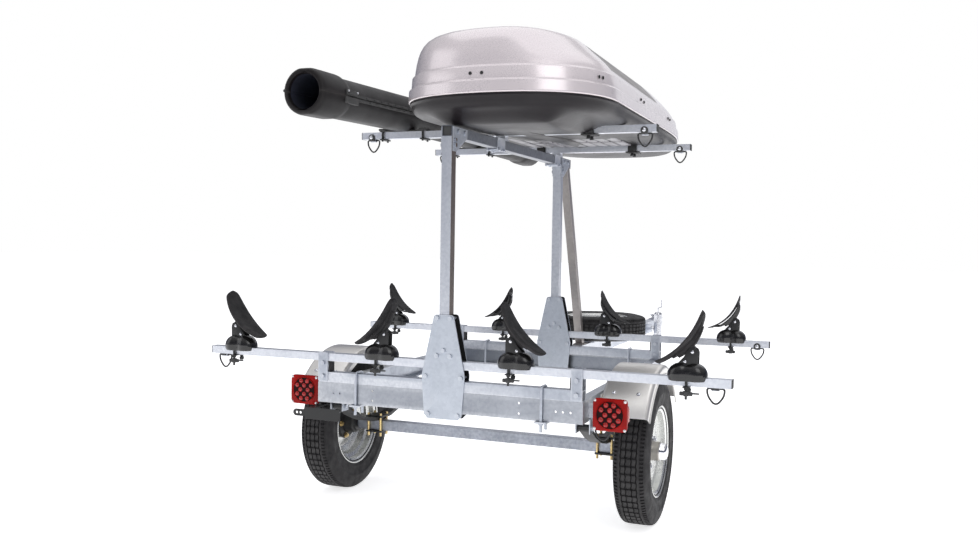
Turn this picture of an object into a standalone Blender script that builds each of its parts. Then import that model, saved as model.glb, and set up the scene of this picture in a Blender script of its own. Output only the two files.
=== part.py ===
"""Kayak trailer with two tiers of load bars, saddles, a cargo box and a gear tube.

Units are metres. X points right as seen from behind, Y towards the hitch, Z up.
Places in this script are measured from the ground halfway between the wheels. Each finished
piece is then moved back along Y, so that the origin lies under the middle of the overall length.
"""
import math

import bmesh
import bpy
from mathutils import Matrix, Vector

# Shared clearances and section sizes
GAP = 0.0003
BITE = 0.0005
TUBE = 0.038
TUBE_WALL = 0.0025
PLATE = 0.005
BOLT_RADIUS = 0.005
BOLT_HEAD_RADIUS = 0.009
BOLT_HEAD_HEIGHT = 0.006
ROD_SIDES = 6
PIN_SIDES = 8
WHEEL_STEPS = 24
SPARE_STEPS = 20

# Wheels and axle
TYRE_RADIUS = 0.269
TYRE_WIDTH = 0.128
TYRE_WALL = 0.010
WHEEL_REACH = 0.123
RIM_SEAT_RADIUS = 0.153
RIM_FLANGE_RADIUS = 0.167
RIM_HALF_WIDTH = 0.053
RIM_WALL = 0.004
HUB_RADIUS = 0.037
HUB_INNER = 0.060
HUB_OUTER = 0.068
HUB_CAP_WALL = 0.014
SPINDLE_RADIUS = 0.0125
AXLE_TUBE = 0.040
AXLE_END_GAP = 0.006
AXLE_TIP_GAP = 0.020

# Ladder frame
FRAME_BOTTOM = 0.426
FRAME_HEIGHT = 0.075
FRAME_WALL = 0.004
FRAME_HALF_WIDTH = 0.508
REAR_FACE = -0.423
FRONT_FACE = 0.859
RAIL_INSET = 0.003
END_PLATE_REACH = 0.078
LIGHT_PLATE_REACH = 0.135
LIGHT_PLATE_DROP = 0.012
HOLE_RADIUS = 0.0045
HOLE_PAIR_X = (-0.283, 0.283)
HOLE_PAIR_RISE = 0.018
HOLE_ROW_LEFT = (0.064, 0.090)
HOLE_ROW_RIGHT = (0.093, 0.068, 0.041)
HOLE_ROW_DROP = 0.001

# Lower load bars on their riser tubes
RISER_GAP = 0.041
LOAD_BAR_LENGTH = 1.981
LOAD_BAR_HEIGHT = 0.0285
LOAD_BAR_DEPTH = 0.036
RISER_PLATE_WIDTH = 0.040
RISER_PLATE_HEIGHT = 0.106
RISER_PLATE_BASE = 0.005
BOLT_MARGIN = 0.002
U_BOLT_X = 0.357
U_BOLT_SHIFT = 0.009
U_BOLT_FOOT = 0.036
U_BOLT_PLATE_WIDTH = 0.042
U_BOLT_PLATE = 0.006
U_BOLT_CORNER = 0.010
U_BOLT_PLATE_MARGIN = 0.010

# Posts, their plates and the beam along the top
POST_PLATE_TOP = 0.772
POST_PLATE_BOTTOM = 0.403
POST_PLATE_TOP_HALF = 0.039
POST_PLATE_WAIST_Z = 0.560
POST_PLATE_WAIST_HALF = 0.082
POST_PLATE_FOOT_HALF = 0.072
POST_PLATE_CORNER = 0.010
POST_PLATE_CHAMFER = 0.014
POST_PLATE_BOLT_MARGIN = 0.012
POST_FOOT_GAP = 0.006
BEAM_BOTTOM = 1.3985
BEAM_FRONT = 1.020
GUSSET_REACH = 0.125
GUSSET_DROP = 0.052
GUSSET_MARGIN = 0.004
GUSSET_THICKNESS = 0.004

# Brace from the beam down to the tongue
BRACE_TOP_Y = 0.981
BRACE_FOOT_Y = 1.315
BRACE_FOOT_LENGTH = 0.090
BRACE_PAD = 0.006

# Upper bars
UPPER_BAR_LENGTH = 1.2556
UPPER_BAR_HEIGHT = 0.028
UPPER_BAR_DEPTH = 0.036
UPPER_BAR_RISE = 0.0195
UPPER_REAR_FACE = 0.100
UPPER_FRONT_FACE = 0.844
BEAM_CLAMP_LENGTH = 0.083
BEAM_CLAMP_DROP = 0.0045
BEAM_CLAMP_SETBACK = 0.005

# Tongue, coupler, spare wheel and jack
TONGUE_WIDTH = 0.060
TONGUE_END = 3.120
TONGUE_EAR_WIDTH = 0.045
TONGUE_EAR_LENGTH = 0.060
CARRIER_THICKNESS = 0.008
CARRIER_HALF = 0.050
CARRIER_REACH = 0.225
CARRIER_STUD_RADIUS = 0.008
CARRIER_STUD_RISE = 0.100
SPARE_Y = 1.640
SPARE_HOLE_RADIUS = 0.030
COUPLER_LENGTH = 0.250
COUPLER_NOSE_RADIUS = 0.040
COUPLER_NOSE_DROP = 0.030
COUPLER_HEIGHT = 0.060
SOCKET_RADIUS = 0.0258
SOCKET_DEPTH = 0.042
LATCH_LENGTH = 0.120
LATCH_WIDTH = 0.026
LATCH_THICKNESS = 0.006
LATCH_LUG_X = 0.0172
LATCH_PIN_RISE = 0.016
LATCH_PIN_RADIUS = 0.003
LATCH_HALF_HEIGHT = 0.008
LATCH_TAIL_RISE = 0.014
JACK_X = 0.100
JACK_Y = 2.850
JACK_RADIUS = 0.026
JACK_WALL = 0.003
JACK_BOTTOM = 0.220
JACK_TOP = 0.560
JACK_LEG_RADIUS = 0.022
JACK_LEG_TOP = 0.370
JACK_FOOT_RADIUS = 0.055
JACK_FOOT_THICKNESS = 0.008
JACK_PIVOT_RADIUS = 0.018
JACK_FLANGE_SEAT = 0.014
JACK_CAP_HEIGHT = 0.012
JACK_CAP_WALL = 0.006
JACK_CRANK_RISE = 0.040
JACK_CRANK_ARM = 0.110
JACK_CRANK_GRIP = 0.050
JACK_CRANK_ROD = 0.005
JACK_STEPS = 14

# Leaf springs
SPRING_INSET = 0.020
SPRING_WIDTH = 0.044
SPRING_THICKNESS = 0.014
SPRING_HALF_SPAN = 0.310
SPRING_RISE = 0.098
SPRING_EYE_RADIUS = 0.013
SPRING_STEPS = 8
SPRING_PIN_RADIUS = 0.005
HANGER_WALL = 0.004
HANGER_HALF_LENGTH = 0.022
SPRING_BOLT_RADIUS = 0.0048
SPRING_PAD = 0.007

# Fenders
FENDER_RADIUS = 0.320
FENDER_ROOM = 0.0155
FENDER_WIDTH = 0.1765
FENDER_SKIN = 0.002
FENDER_LIP = 0.018
FENDER_START_DEG = 31.0
FENDER_STEPS = 12
FENDER_BRACKET_Y = 0.212
FENDER_BRACKET_LENGTH = 0.036
FENDER_BRACKET_HEIGHT = 0.026

# Tail lights and the plate bracket
LIGHT_ROOM = 0.029
LIGHT_WIDTH = 0.114
LIGHT_BOTTOM = 0.405
LIGHT_HEIGHT = 0.109
LIGHT_FACE_Y = -0.387
LIGHT_DEPTH = 0.037
LIGHT_FRAME = 0.008
LIGHT_FRAME_DEPTH = 0.012
LIGHT_DISC_RADIUS = 0.047
LIGHT_DISC_DEPTH = 0.004
MARKER_WIDTH = 0.010
MARKER_HEIGHT = 0.050
MARKER_SETBACK = 0.004
LEAD_RADIUS = 0.003
LEAD_HALF_SPAN = 0.027
LEAD_DROP = 0.045
LEAD_STEPS = 10
NUMBER_STRIP_REACH = 0.095
NUMBER_STRIP_LENGTH = 0.200
NUMBER_STRIP_BOTTOM = 0.363
NUMBER_STRIP_HEIGHT = 0.044
NUMBER_STRIP_Y = -0.452
NUMBER_STRIP_THICKNESS = 0.003
NUMBER_ARM_WIDTH = 0.030
NUMBER_ARM_RISE = 0.045
NUMBER_TAB_LENGTH = 0.050
NUMBER_TAB_HEIGHT = 0.026
NUMBER_HOLE_RADIUS = 0.005
NUMBER_HOLES = (0.016, 0.032)

# Saddles
SADDLE_END_INSETS = {"rear": (0.1225, 0.1405), "front": (0.1405, 0.1645)}
SADDLE_INNER_PLACES = {"rear": (-0.256, 0.264), "front": (-0.260, 0.260)}
SADDLE_KAYAK_SIDE = (1, -1, 1, -1)
SADDLE_BASE_LENGTH = 0.130
SADDLE_BASE_WIDTH = 0.084
SADDLE_BASE_HEIGHT = 0.046
SADDLE_NECK_WIDTH = 0.024
SADDLE_PIVOT_OFFSET = -0.016
SADDLE_PIVOT_HEIGHT = 0.082
SADDLE_PIN_RADIUS = 0.004
SADDLE_PIN_PLAY = 0.0006
SADDLE_EAR_WIDTH = 0.007
SADDLE_EAR_RADIUS = 0.012
SADDLE_BOLT_SPREAD = 0.012
SADDLE_PLATE = 0.006
SADDLE_KNOB_DROP = 0.020
SADDLE_KNOB_RADIUS = 0.0085
PAD_TOP = (-0.045, 0.215)
PAD_BOTTOM = (0.118, 0.048)
PAD_SAG = 0.024
PAD_WIDTH = 0.110
PAD_TIP_WIDTH = 0.050
PAD_THICKNESS = 0.012
PAD_KEEL = 0.020
PAD_KEEL_WIDTH = 0.35
PAD_STEPS = 6

# Tie-down rings
RING_WIRE = 0.0032
RING_HALF_WIDTH = 0.0265
RING_DROP = 0.049
RING_CLIP_WIDTH = 0.024
RING_CLIP_DEPTH = 0.016
RING_CLIP_WALL = 0.003
RING_PLAY = 0.0009
RING_END_INSET_LOWER = 0.050
RING_END_INSET_UPPER = 0.046

# Cargo box
BOX_CENTRE_X = 0.1455
BOX_HALF_WIDTH = 0.395
BOX_REAR_Y = -0.477
BOX_FRONT_Y = 1.550
BOX_REAR_LENGTH = 0.360
BOX_REAR_POWER = 2.35
BOX_FRONT_LENGTH = 0.950
BOX_FRONT_POWER = 3.2
BOX_WALL = 0.004
BOX_TRAY_HEIGHT = 0.0517
BOX_LIP_HEIGHT = 0.044
BOX_LID_RISE = 0.210
BOX_LID_FALL = 0.030
BOX_STEPS = 28
BOX_BULGE_DEPTH = 0.040
BOX_BULGE_LEFT = -0.090
BOX_BULGE_RIGHT = 0.400
BOX_HINGE_OFFSET = 0.002
BOX_HINGE_REACH = 0.600
BOX_CLAMP_SPREAD = 0.220
CLAMP_ROD_RADIUS = 0.0045
CLAMP_HALF = 0.016
CLAMP_PLATE = 0.005

# Gear tube
GEAR_X = -0.435
GEAR_REAR_Y = -0.660
GEAR_LENGTH = 2.350
GEAR_RADIUS = 0.074
GEAR_FOOT = 0.071
GEAR_REAR_DROOP = 0.018
GEAR_FRONT_DROOP = 0.010
GEAR_BELL_RADIUS = 0.083
GEAR_BELL_LENGTH = 0.200
GEAR_BELL_TAPER = 0.020
GEAR_BELL_ROUND = 0.005
GEAR_WALL = 0.005
GEAR_STEPS = 9
GEAR_SEAT = 0.005
GEAR_CLAMP_HALF = 0.093
GEAR_SEAT_MARGIN = 0.013
GEAR_HINGE_RADIUS = 0.006

# Heights and places that follow from the sizes above
AXLE_Z = TYRE_RADIUS
FRAME_TOP = FRAME_BOTTOM + FRAME_HEIGHT
RISER_BOTTOM = FRAME_TOP + GAP
RISER_TOP = RISER_BOTTOM + TUBE
LOAD_BAR_BOTTOM = RISER_TOP + RISER_GAP
LOAD_BAR_TOP = LOAD_BAR_BOTTOM + LOAD_BAR_HEIGHT
POST_BOTTOM = LOAD_BAR_TOP + POST_FOOT_GAP
BEAM_TOP = BEAM_BOTTOM + TUBE
UPPER_BAR_BOTTOM = BEAM_TOP + UPPER_BAR_RISE
UPPER_BAR_TOP = UPPER_BAR_BOTTOM + UPPER_BAR_HEIGHT
REAR_MIDDLE = REAR_FACE + TUBE / 2
FRONT_MIDDLE = FRONT_FACE + TUBE / 2
TONGUE_START = FRONT_FACE + TUBE + 2 * GAP + PLATE
GEAR_Z = UPPER_BAR_TOP + GAP + GEAR_FOOT
RAIL_OUTER = FRAME_HALF_WIDTH - RAIL_INSET
WHEEL_X = FRAME_HALF_WIDTH + WHEEL_REACH
SPRING_X = RAIL_OUTER - SPRING_INSET
FENDER_INNER_X = RAIL_OUTER + FENDER_ROOM
LIGHT_PLATE_X = RAIL_OUTER + LIGHT_PLATE_REACH
LIGHT_INNER_X = RAIL_OUTER + LIGHT_ROOM
NUMBER_STRIP_LEFT = -(RAIL_OUTER + NUMBER_STRIP_REACH)
SADDLE_PLACES = {
    end: (left - LOAD_BAR_LENGTH / 2, *SADDLE_INNER_PLACES[end], LOAD_BAR_LENGTH / 2 - right)
    for end, (left, right) in SADDLE_END_INSETS.items()
}
BOX_BOTTOM = UPPER_BAR_TOP + GAP
BOX_LIP_BOTTOM = BOX_BOTTOM + BOX_TRAY_HEIGHT
BOX_LIP_TOP = BOX_LIP_BOTTOM + BOX_LIP_HEIGHT
ORIGIN = Vector((0.0, (GEAR_REAR_Y + TONGUE_END + GAP + COUPLER_LENGTH) / 2, 0.0))

MATERIALS = {
    "galvanised": ((0.62, 0.65, 0.70), 0.9, 0.38),
    "silver_paint": ((0.70, 0.68, 0.66), 0.6, 0.30),
    "black_rubber": ((0.025, 0.025, 0.027), 0.0, 0.75),
    "tyre_rubber": ((0.035, 0.035, 0.037), 0.0, 0.80),
    "black_steel": ((0.030, 0.030, 0.032), 0.3, 0.45),
    "black_plastic": ((0.045, 0.042, 0.042), 0.0, 0.50),
    "red_lens": ((0.60, 0.02, 0.03), 0.0, 0.15),
    "zinc": ((0.66, 0.66, 0.66), 0.9, 0.30),
}


def clear_scene():
    """Remove whatever the scene holds."""
    for item in list(bpy.data.objects):
        bpy.data.objects.remove(item, do_unlink=True)


def make_material(node, finish):
    """Give a node its own material with one of the finishes."""
    color, metallic, roughness = MATERIALS[finish]
    material = bpy.data.materials.new(node)
    material.use_nodes = True
    shader = material.node_tree.nodes["Principled BSDF"]
    shader.inputs["Base Color"].default_value = (*color, 1.0)
    shader.inputs["Metallic"].default_value = metallic
    shader.inputs["Roughness"].default_value = roughness
    return material


def loft(rings, closed=False):
    """Skin a row of equal rings into one closed shape, capped at its ends unless closed."""
    bm = bmesh.new()
    rows = [[bm.verts.new(point) for point in ring] for ring in rings]
    pairs = list(zip(rows, rows[1:]))
    if closed:
        pairs.append((rows[-1], rows[0]))
    for low, high in pairs:
        for index in range(len(low)):
            after = (index + 1) % len(low)
            bm.faces.new((low[index], low[after], high[after], high[index]))
    if not closed:
        bm.faces.new(list(reversed(rows[0])))
        bm.faces.new(rows[-1])
    return finish_mesh(bm)


def finish_mesh(bm):
    """Merge doubled points, face the surface outwards and return it as a mesh."""
    bmesh.ops.remove_doubles(bm, verts=bm.verts, dist=0.000001)
    bmesh.ops.recalc_face_normals(bm, faces=bm.faces)
    if bm.calc_volume(signed=True) < 0:
        bmesh.ops.reverse_faces(bm, faces=bm.faces)
    mesh = bpy.data.meshes.new("piece")
    bm.to_mesh(mesh)
    bm.free()
    return mesh


def box(x, y, z):
    """A block between two values on each axis."""
    ring = [(x[0], y[0]), (x[1], y[0]), (x[1], y[1]), (x[0], y[1])]
    return loft([[(px, py, height) for px, py in ring] for height in z])


def prism(outline, low, high, axis):
    """A flat outline pushed from low to high along an axis: x (y, z), y (x, z) or z (x, y)."""
    place = {
        "x": lambda u, v, w: (w, u, v),
        "y": lambda u, v, w: (u, w, v),
        "z": lambda u, v, w: (u, v, w),
    }[axis]
    return loft([[place(u, v, w) for u, v in outline] for w in (low, high)])


def circle(radius, sides, centre=(0.0, 0.0), start=0.0):
    """Points of a regular polygon that stands for a circle."""
    turns = [start + 2 * math.pi * index / sides for index in range(sides)]
    return [(centre[0] + radius * math.cos(turn), centre[1] + radius * math.sin(turn)) for turn in turns]


def rod(axis, centre, low, high, radius, sides=ROD_SIDES):
    """A round bar along one axis, its centre given on the other two."""
    return prism(circle(radius, sides, centre, math.pi / sides), low, high, axis)


def bolt(axis, centre, low, high, radius=BOLT_RADIUS, head=BOLT_HEAD_RADIUS):
    """A through bolt: a shank with a six-sided head outside each end."""
    place = {
        "x": lambda u, v, w: (w, u, v),
        "y": lambda u, v, w: (u, w, v),
    }[axis]
    stations = [
        (low - BOLT_HEAD_HEIGHT, head), (low + BITE, head), (low + BITE, radius),
        (high - BITE, radius), (high - BITE, head), (high + BOLT_HEAD_HEIGHT, head),
    ]
    start = math.pi / ROD_SIDES
    rings = [[place(u, v, w) for u, v in circle(size, ROD_SIDES, centre, start)] for w, size in stations]
    return [loft(rings)]


def bent_rod(points, radius, normal, sides=ROD_SIDES, closed=False):
    """A round wire along a flat path; normal is square to the path's plane."""
    path = [Vector(point) for point in points]
    flat = Vector(normal).normalized()
    rings = []
    for index, point in enumerate(path):
        before = path[index - 1] if closed or index else point
        after = path[(index + 1) % len(path)] if closed or index < len(path) - 1 else point
        back = (point - before).normalized() if point != before else (after - point).normalized()
        ahead = (after - point).normalized() if point != after else back
        middle = (back + ahead).normalized()
        side = middle.cross(flat).normalized() / max(0.5, middle.dot(ahead))
        turns = [2 * math.pi * step / sides for step in range(sides)]
        rings.append([point + radius * (math.cos(turn) * side + math.sin(turn) * flat) for turn in turns])
    return loft(rings, closed)


def lathe(profile, centre, axis, steps=WHEEL_STEPS):
    """Turn a closed profile of (along, radius) points about a line along x or z."""
    bm = bmesh.new()
    start = math.pi / 2
    rows = []
    for index in range(steps):
        turn = start + 2 * math.pi * index / steps
        row = []
        for along, radius in profile:
            across, rise = radius * math.cos(turn), radius * math.sin(turn)
            place = (along, across, rise) if axis == "x" else (across, rise, along)
            row.append(bm.verts.new(Vector(place) + Vector(centre)))
        rows.append(row)
    for index in range(steps):
        low, high = rows[index], rows[(index + 1) % steps]
        for point in range(len(profile)):
            after = (point + 1) % len(profile)
            if profile[point][1] == 0 and profile[after][1] == 0:
                continue
            bm.faces.new((low[point], low[after], high[after], high[point]))
    bmesh.ops.remove_doubles(bm, verts=bm.verts, dist=0.000001)
    bmesh.ops.dissolve_degenerate(bm, edges=bm.edges, dist=0.000001)
    return finish_mesh(bm)


def hollow_bar(x, y, z, along, wall):
    """A rectangular tube, open at both ends along x, y or z."""
    spans = {"x": x, "y": y, "z": z}
    across = [name for name in "xyz" if name != along]
    low, high = spans[along]
    first, second = spans[across[0]], spans[across[1]]
    outer = rectangle(first, second)
    inner = rectangle((first[0] + wall, first[1] - wall), (second[0] + wall, second[1] - wall))
    place = {
        "x": lambda u, v, w: (w, u, v),
        "y": lambda u, v, w: (u, w, v),
        "z": lambda u, v, w: (u, v, w),
    }[along]
    rings = [
        [place(u, v, low) for u, v in outer],
        [place(u, v, high) for u, v in outer],
        [place(u, v, high) for u, v in inner],
        [place(u, v, low) for u, v in inner],
    ]
    return loft(rings, closed=True)


def rectangle(first, second):
    """The four corners of a rectangle between two values on each of two axes."""
    return [(first[0], second[0]), (first[1], second[0]), (first[1], second[1]), (first[0], second[1])]


def channel_outline(web, lips, low, high, wall):
    """A C section with its web at one place and its open side at the other."""
    step = wall if lips > web else -wall
    return [
        (web, low), (lips, low), (lips, low + wall), (web + step, low + wall),
        (web + step, high - wall), (lips, high - wall), (lips, high), (web, high),
    ]


def operand(mesh):
    """A hidden helper object that a Boolean reads."""
    item = bpy.data.objects.new("helper", mesh)
    item.hide_render = True
    item.display_type = "WIRE"
    bpy.context.scene.collection.objects.link(item)
    return item


def combine(mesh, others, operation):
    """Apply a Boolean with each of the other meshes and return the result as a mesh."""
    base = operand(mesh)
    helpers = [operand(other) for other in others]
    for helper in helpers:
        modifier = base.modifiers.new(operation, "BOOLEAN")
        modifier.operation = operation
        modifier.solver = "EXACT"
        modifier.object = helper
    depsgraph = bpy.context.evaluated_depsgraph_get()
    depsgraph.update()
    result = bpy.data.meshes.new_from_object(base.evaluated_get(depsgraph))
    for item in [base, *helpers]:
        bpy.data.objects.remove(item, do_unlink=True)
    return result


def solid(name, finish, pieces, cuts=(), origin=(0.0, 0.0, 0.0), smooth=False):
    """Make one named body from pieces that bite into each other, less the cuts."""
    mesh = pieces[0]
    if len(pieces) > 1:
        mesh = combine(mesh, pieces[1:], "UNION")
    if cuts:
        mesh = combine(mesh, cuts, "DIFFERENCE")
    mesh.materials.clear()
    mesh.materials.append(make_material(name, finish))
    mesh.transform(Matrix.Translation(-Vector(origin)))
    if smooth:
        mesh.shade_smooth()
        mesh.set_sharp_from_angle(angle=math.radians(35))
    item = bpy.data.objects.new(name, mesh)
    item.location = Vector(origin) - ORIGIN
    bpy.context.scene.collection.objects.link(item)
    return item


def side_name(side):
    """The word for the left (-1) or the right (1) side as seen from behind."""
    return "right" if side > 0 else "left"


def mirrored(low, high, side):
    """A span on the X axis, mirrored for the left side and sorted."""
    return tuple(sorted((side * low, side * high)))


def build_crossmember(end, face, opens):
    """A C channel across the frame; the rear one also carries the plates behind the tail lights."""
    web = face if opens > 0 else face + TUBE
    lips = face + TUBE if opens > 0 else face
    outline = channel_outline(web, lips, FRAME_BOTTOM, FRAME_TOP, FRAME_WALL)
    pieces = [prism(outline, -FRAME_HALF_WIDTH, FRAME_HALF_WIDTH, "x")]
    if end == "rear":
        for side in (-1, 1):
            pieces += light_plates(side)
    solid(f"{end}_crossmember", "galvanised", pieces, crossmember_holes(face) if end == "rear" else ())


def light_plates(side):
    """An end plate on the crossmember and the flat plate that holds a tail light."""
    back = LIGHT_FACE_Y + LIGHT_DEPTH + GAP
    end_inner = RAIL_OUTER + GAP
    end_plate = box(
        mirrored(end_inner, end_inner + PLATE, side),
        (REAR_FACE, REAR_FACE + END_PLATE_REACH),
        (FRAME_BOTTOM, FRAME_TOP),
    )
    light_plate = box(
        mirrored(end_inner, LIGHT_PLATE_X, side),
        (back, back + PLATE),
        (FRAME_BOTTOM + LIGHT_PLATE_DROP, FRAME_TOP - LIGHT_PLATE_DROP),
    )
    return [end_plate, light_plate]


def crossmember_holes(face):
    """Bolt holes through the web of the rear crossmember."""
    middle = (FRAME_BOTTOM + FRAME_TOP) / 2
    places = [(x, middle + rise) for x in HOLE_PAIR_X for rise in (-HOLE_PAIR_RISE, HOLE_PAIR_RISE)]
    row = [inset - FRAME_HALF_WIDTH for inset in HOLE_ROW_LEFT]
    row += [FRAME_HALF_WIDTH - inset for inset in HOLE_ROW_RIGHT]
    places += [(x, middle - HOLE_ROW_DROP) for x in row]
    return [rod("y", place, face - BITE, face + FRAME_WALL + BITE, HOLE_RADIUS) for place in places]


def build_side_rail(side):
    """A C channel along one side, with the two hangers of its leaf spring."""
    low = REAR_FACE + TUBE + GAP
    high = FRONT_FACE - GAP
    web, lips = side * RAIL_OUTER, side * (RAIL_OUTER - TUBE)
    outline = channel_outline(web, lips, FRAME_BOTTOM, FRAME_TOP, FRAME_WALL)
    pieces = [prism(outline, low, high, "y")]
    for end in (-1, 1):
        pieces += spring_hanger(side, end * SPRING_HALF_SPAN)
    solid(f"{side_name(side)}_side_rail", "galvanised", pieces)


def spring_eye_z():
    """The height of the spring's end eyes."""
    return AXLE_Z + AXLE_TUBE / 2 + GAP + SPRING_THICKNESS / 2 + SPRING_RISE


def spring_hanger(side, place):
    """Two cheeks under the rail with a pin between them through the spring's eye."""
    eye_z = spring_eye_z()
    inner = SPRING_WIDTH / 2 + 2 * GAP
    bottom = eye_z - SPRING_EYE_RADIUS - HANGER_WALL
    low, high = place - HANGER_HALF_LENGTH, place + HANGER_HALF_LENGTH
    seat = FRAME_BOTTOM + FRAME_WALL / 2
    pieces = []
    for cheek in (-1, 1):
        near = side * SPRING_X + cheek * inner
        far = near + cheek * HANGER_WALL
        pieces.append(box(tuple(sorted((near, far))), (low, high), (bottom, seat)))
    reach = inner + HANGER_WALL
    span = (side * SPRING_X - reach, side * SPRING_X + reach)
    pieces.append(box(span, (low, high), (FRAME_BOTTOM - HANGER_WALL, seat)))
    pieces += bolt("x", (place, eye_z), span[0], span[1], SPRING_PIN_RADIUS)
    return pieces


def build_leaf_spring(side):
    """A curved leaf with rolled eyes, clamped round the axle by two U-bolts."""
    centre = side * SPRING_X
    half = SPRING_WIDTH / 2
    base = AXLE_Z + AXLE_TUBE / 2 + GAP
    eye_z = spring_eye_z()
    rings = []
    for step in range(SPRING_STEPS + 1):
        y = SPRING_HALF_SPAN * (2 * step / SPRING_STEPS - 1)
        low = base + SPRING_RISE * (y / SPRING_HALF_SPAN) ** 2
        section = rectangle((centre - half, centre + half), (low, low + SPRING_THICKNESS))
        rings.append([(x, y, z) for x, z in section])
    pieces = [loft(rings)]
    for end in (-1, 1):
        eye = (end * SPRING_HALF_SPAN, eye_z)
        pieces.append(rod("x", eye, centre - half + BITE, centre + half - BITE, SPRING_EYE_RADIUS, PIN_SIDES))
    pieces += spring_clamp(centre, base + SPRING_THICKNESS)
    bore = SPRING_PIN_RADIUS + 2 * GAP
    low, high = centre - 1.2 * half, centre + 1.2 * half
    cuts = [rod("x", (end * SPRING_HALF_SPAN, eye_z), low, high, bore, PIN_SIDES) for end in (-1, 1)]
    solid(f"{side_name(side)}_leaf_spring", "black_steel", pieces, cuts)


def spring_clamp(centre, top):
    """Two U-bolts round the axle, a pad on the leaf and a plate below the axle."""
    across = SPRING_WIDTH / 2 + SPRING_BOLT_RADIUS + 0.001
    along = AXLE_TUBE / 2 + SPRING_BOLT_RADIUS + 0.002
    under = AXLE_Z - AXLE_TUBE / 2 - GAP
    reach = across + SPRING_BOLT_RADIUS + 0.003
    length = along + SPRING_BOLT_RADIUS + 0.003
    span = (centre - reach, centre + reach)
    pieces = [
        box(span, (-length, length), (top - BITE, top + SPRING_PAD)),
        box(span, (-length, length), (under - SPRING_PAD, under)),
    ]
    for x in (centre - across, centre + across):
        for y in (-along, along):
            low, high = under - 2 * SPRING_PAD, top + 2 * SPRING_PAD
            pieces.append(rod("z", (x, y), low, high, SPRING_BOLT_RADIUS))
    return pieces


def build_axle():
    """A square axle tube with a round spindle for each wheel."""
    half = AXLE_TUBE / 2
    end = WHEEL_X - HUB_INNER - AXLE_END_GAP
    tip = WHEEL_X + HUB_OUTER - AXLE_TIP_GAP
    pieces = [
        box((-end, end), (-half, half), (AXLE_Z - half, AXLE_Z + half)),
        rod("x", (0.0, AXLE_Z), -tip, tip, SPINDLE_RADIUS, 16),
    ]
    solid("axle", "galvanised", pieces)


def tyre_profile():
    """The tyre's hollow section as (across, radius), bead to bead over the tread and back inside."""
    half = TYRE_WIDTH / 2
    bead = RIM_SEAT_RADIUS + GAP
    seat = RIM_HALF_WIDTH - 0.007
    side = TYRE_RADIUS - bead
    outer = [
        (seat, bead), (half - 0.002, bead + 0.34 * side), (half, bead + 0.60 * side),
        (half - 0.008, TYRE_RADIUS - 0.014), (half - 0.022, TYRE_RADIUS - 0.003), (half - 0.045, TYRE_RADIUS),
    ]
    inner = [
        (half - 0.020 - TYRE_WALL, TYRE_RADIUS - TYRE_WALL - 0.002),
        (half - TYRE_WALL, bead + 0.55 * side), (seat - TYRE_WALL, bead),
    ]
    over = outer + [(-across, radius) for across, radius in reversed(outer)]
    under = [(-across, radius) for across, radius in reversed(inner)] + inner
    return over + under


def rim_profile():
    """The rim, its dished disc and the hub as one turned section, open side inwards."""
    half = RIM_HALF_WIDTH
    seat, flange = RIM_SEAT_RADIUS, RIM_FLANGE_RADIUS
    under = seat - RIM_WALL
    bore = SPINDLE_RADIUS + GAP + 0.0003
    return [
        (-half, flange), (-half + 0.006, seat), (half - 0.006, seat), (half, flange),
        (half + 0.003, flange - 0.002), (half - 0.003, under), (0.020, under),
        (0.008, 0.78 * seat), (0.020, 0.45 * seat), (0.020, HUB_RADIUS),
        (HUB_OUTER - 0.006, HUB_RADIUS - 0.006), (HUB_OUTER, HUB_RADIUS - 0.014), (HUB_OUTER, 0.0),
        (HUB_OUTER - HUB_CAP_WALL, 0.0), (HUB_OUTER - HUB_CAP_WALL, bore), (-HUB_INNER, bore),
        (-HUB_INNER, HUB_RADIUS), (0.012, HUB_RADIUS), (0.016, 0.45 * seat), (0.004, 0.78 * seat),
        (0.012, under), (-half + 0.003, under), (-half - 0.003, flange - 0.002),
    ]


def build_wheel(side):
    """A rim with its hub and a tyre; both turn about the axle."""
    centre = (side * WHEEL_X, 0.0, AXLE_Z)
    rim = [(side * along, radius) for along, radius in rim_profile()]
    tyre = tyre_profile()
    name = side_name(side)
    solid(f"{name}_rim", "zinc", [lathe(rim, centre, "x")], origin=centre, smooth=True)
    solid(f"{name}_tyre", "tyre_rubber", [lathe(tyre, centre, "x")], origin=centre, smooth=True)


def build_fender(side):
    """A rolled mudguard over the tyre, held to the side rail by two brackets."""
    inner, outer = FENDER_INNER_X, FENDER_INNER_X + FENDER_WIDTH
    skin, lip = FENDER_SKIN, FENDER_LIP
    top = FENDER_RADIUS
    section = [
        (inner, top - lip), (inner, top), (outer, top), (outer, top - lip), (outer - skin, top - lip),
        (outer - skin, top - skin), (inner + skin, top - skin), (inner + skin, top - lip),
    ]
    start = math.radians(FENDER_START_DEG)
    rings = []
    for step in range(FENDER_STEPS + 1):
        turn = start + (math.pi - 2 * start) * step / FENDER_STEPS
        rings.append([(side * x, r * math.cos(turn), AXLE_Z + r * math.sin(turn)) for x, r in section])
    pieces = [loft(rings)]
    span = mirrored(RAIL_OUTER + GAP, FENDER_INNER_X + FENDER_SKIN / 2, side)
    half = FENDER_BRACKET_LENGTH / 2
    for end in (-1, 1):
        y = (end * FENDER_BRACKET_Y - half, end * FENDER_BRACKET_Y + half)
        pieces.append(box(span, y, (FRAME_TOP - FENDER_BRACKET_HEIGHT, FRAME_TOP)))
    solid(f"{side_name(side)}_fender", "silver_paint", pieces, smooth=True)


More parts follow.
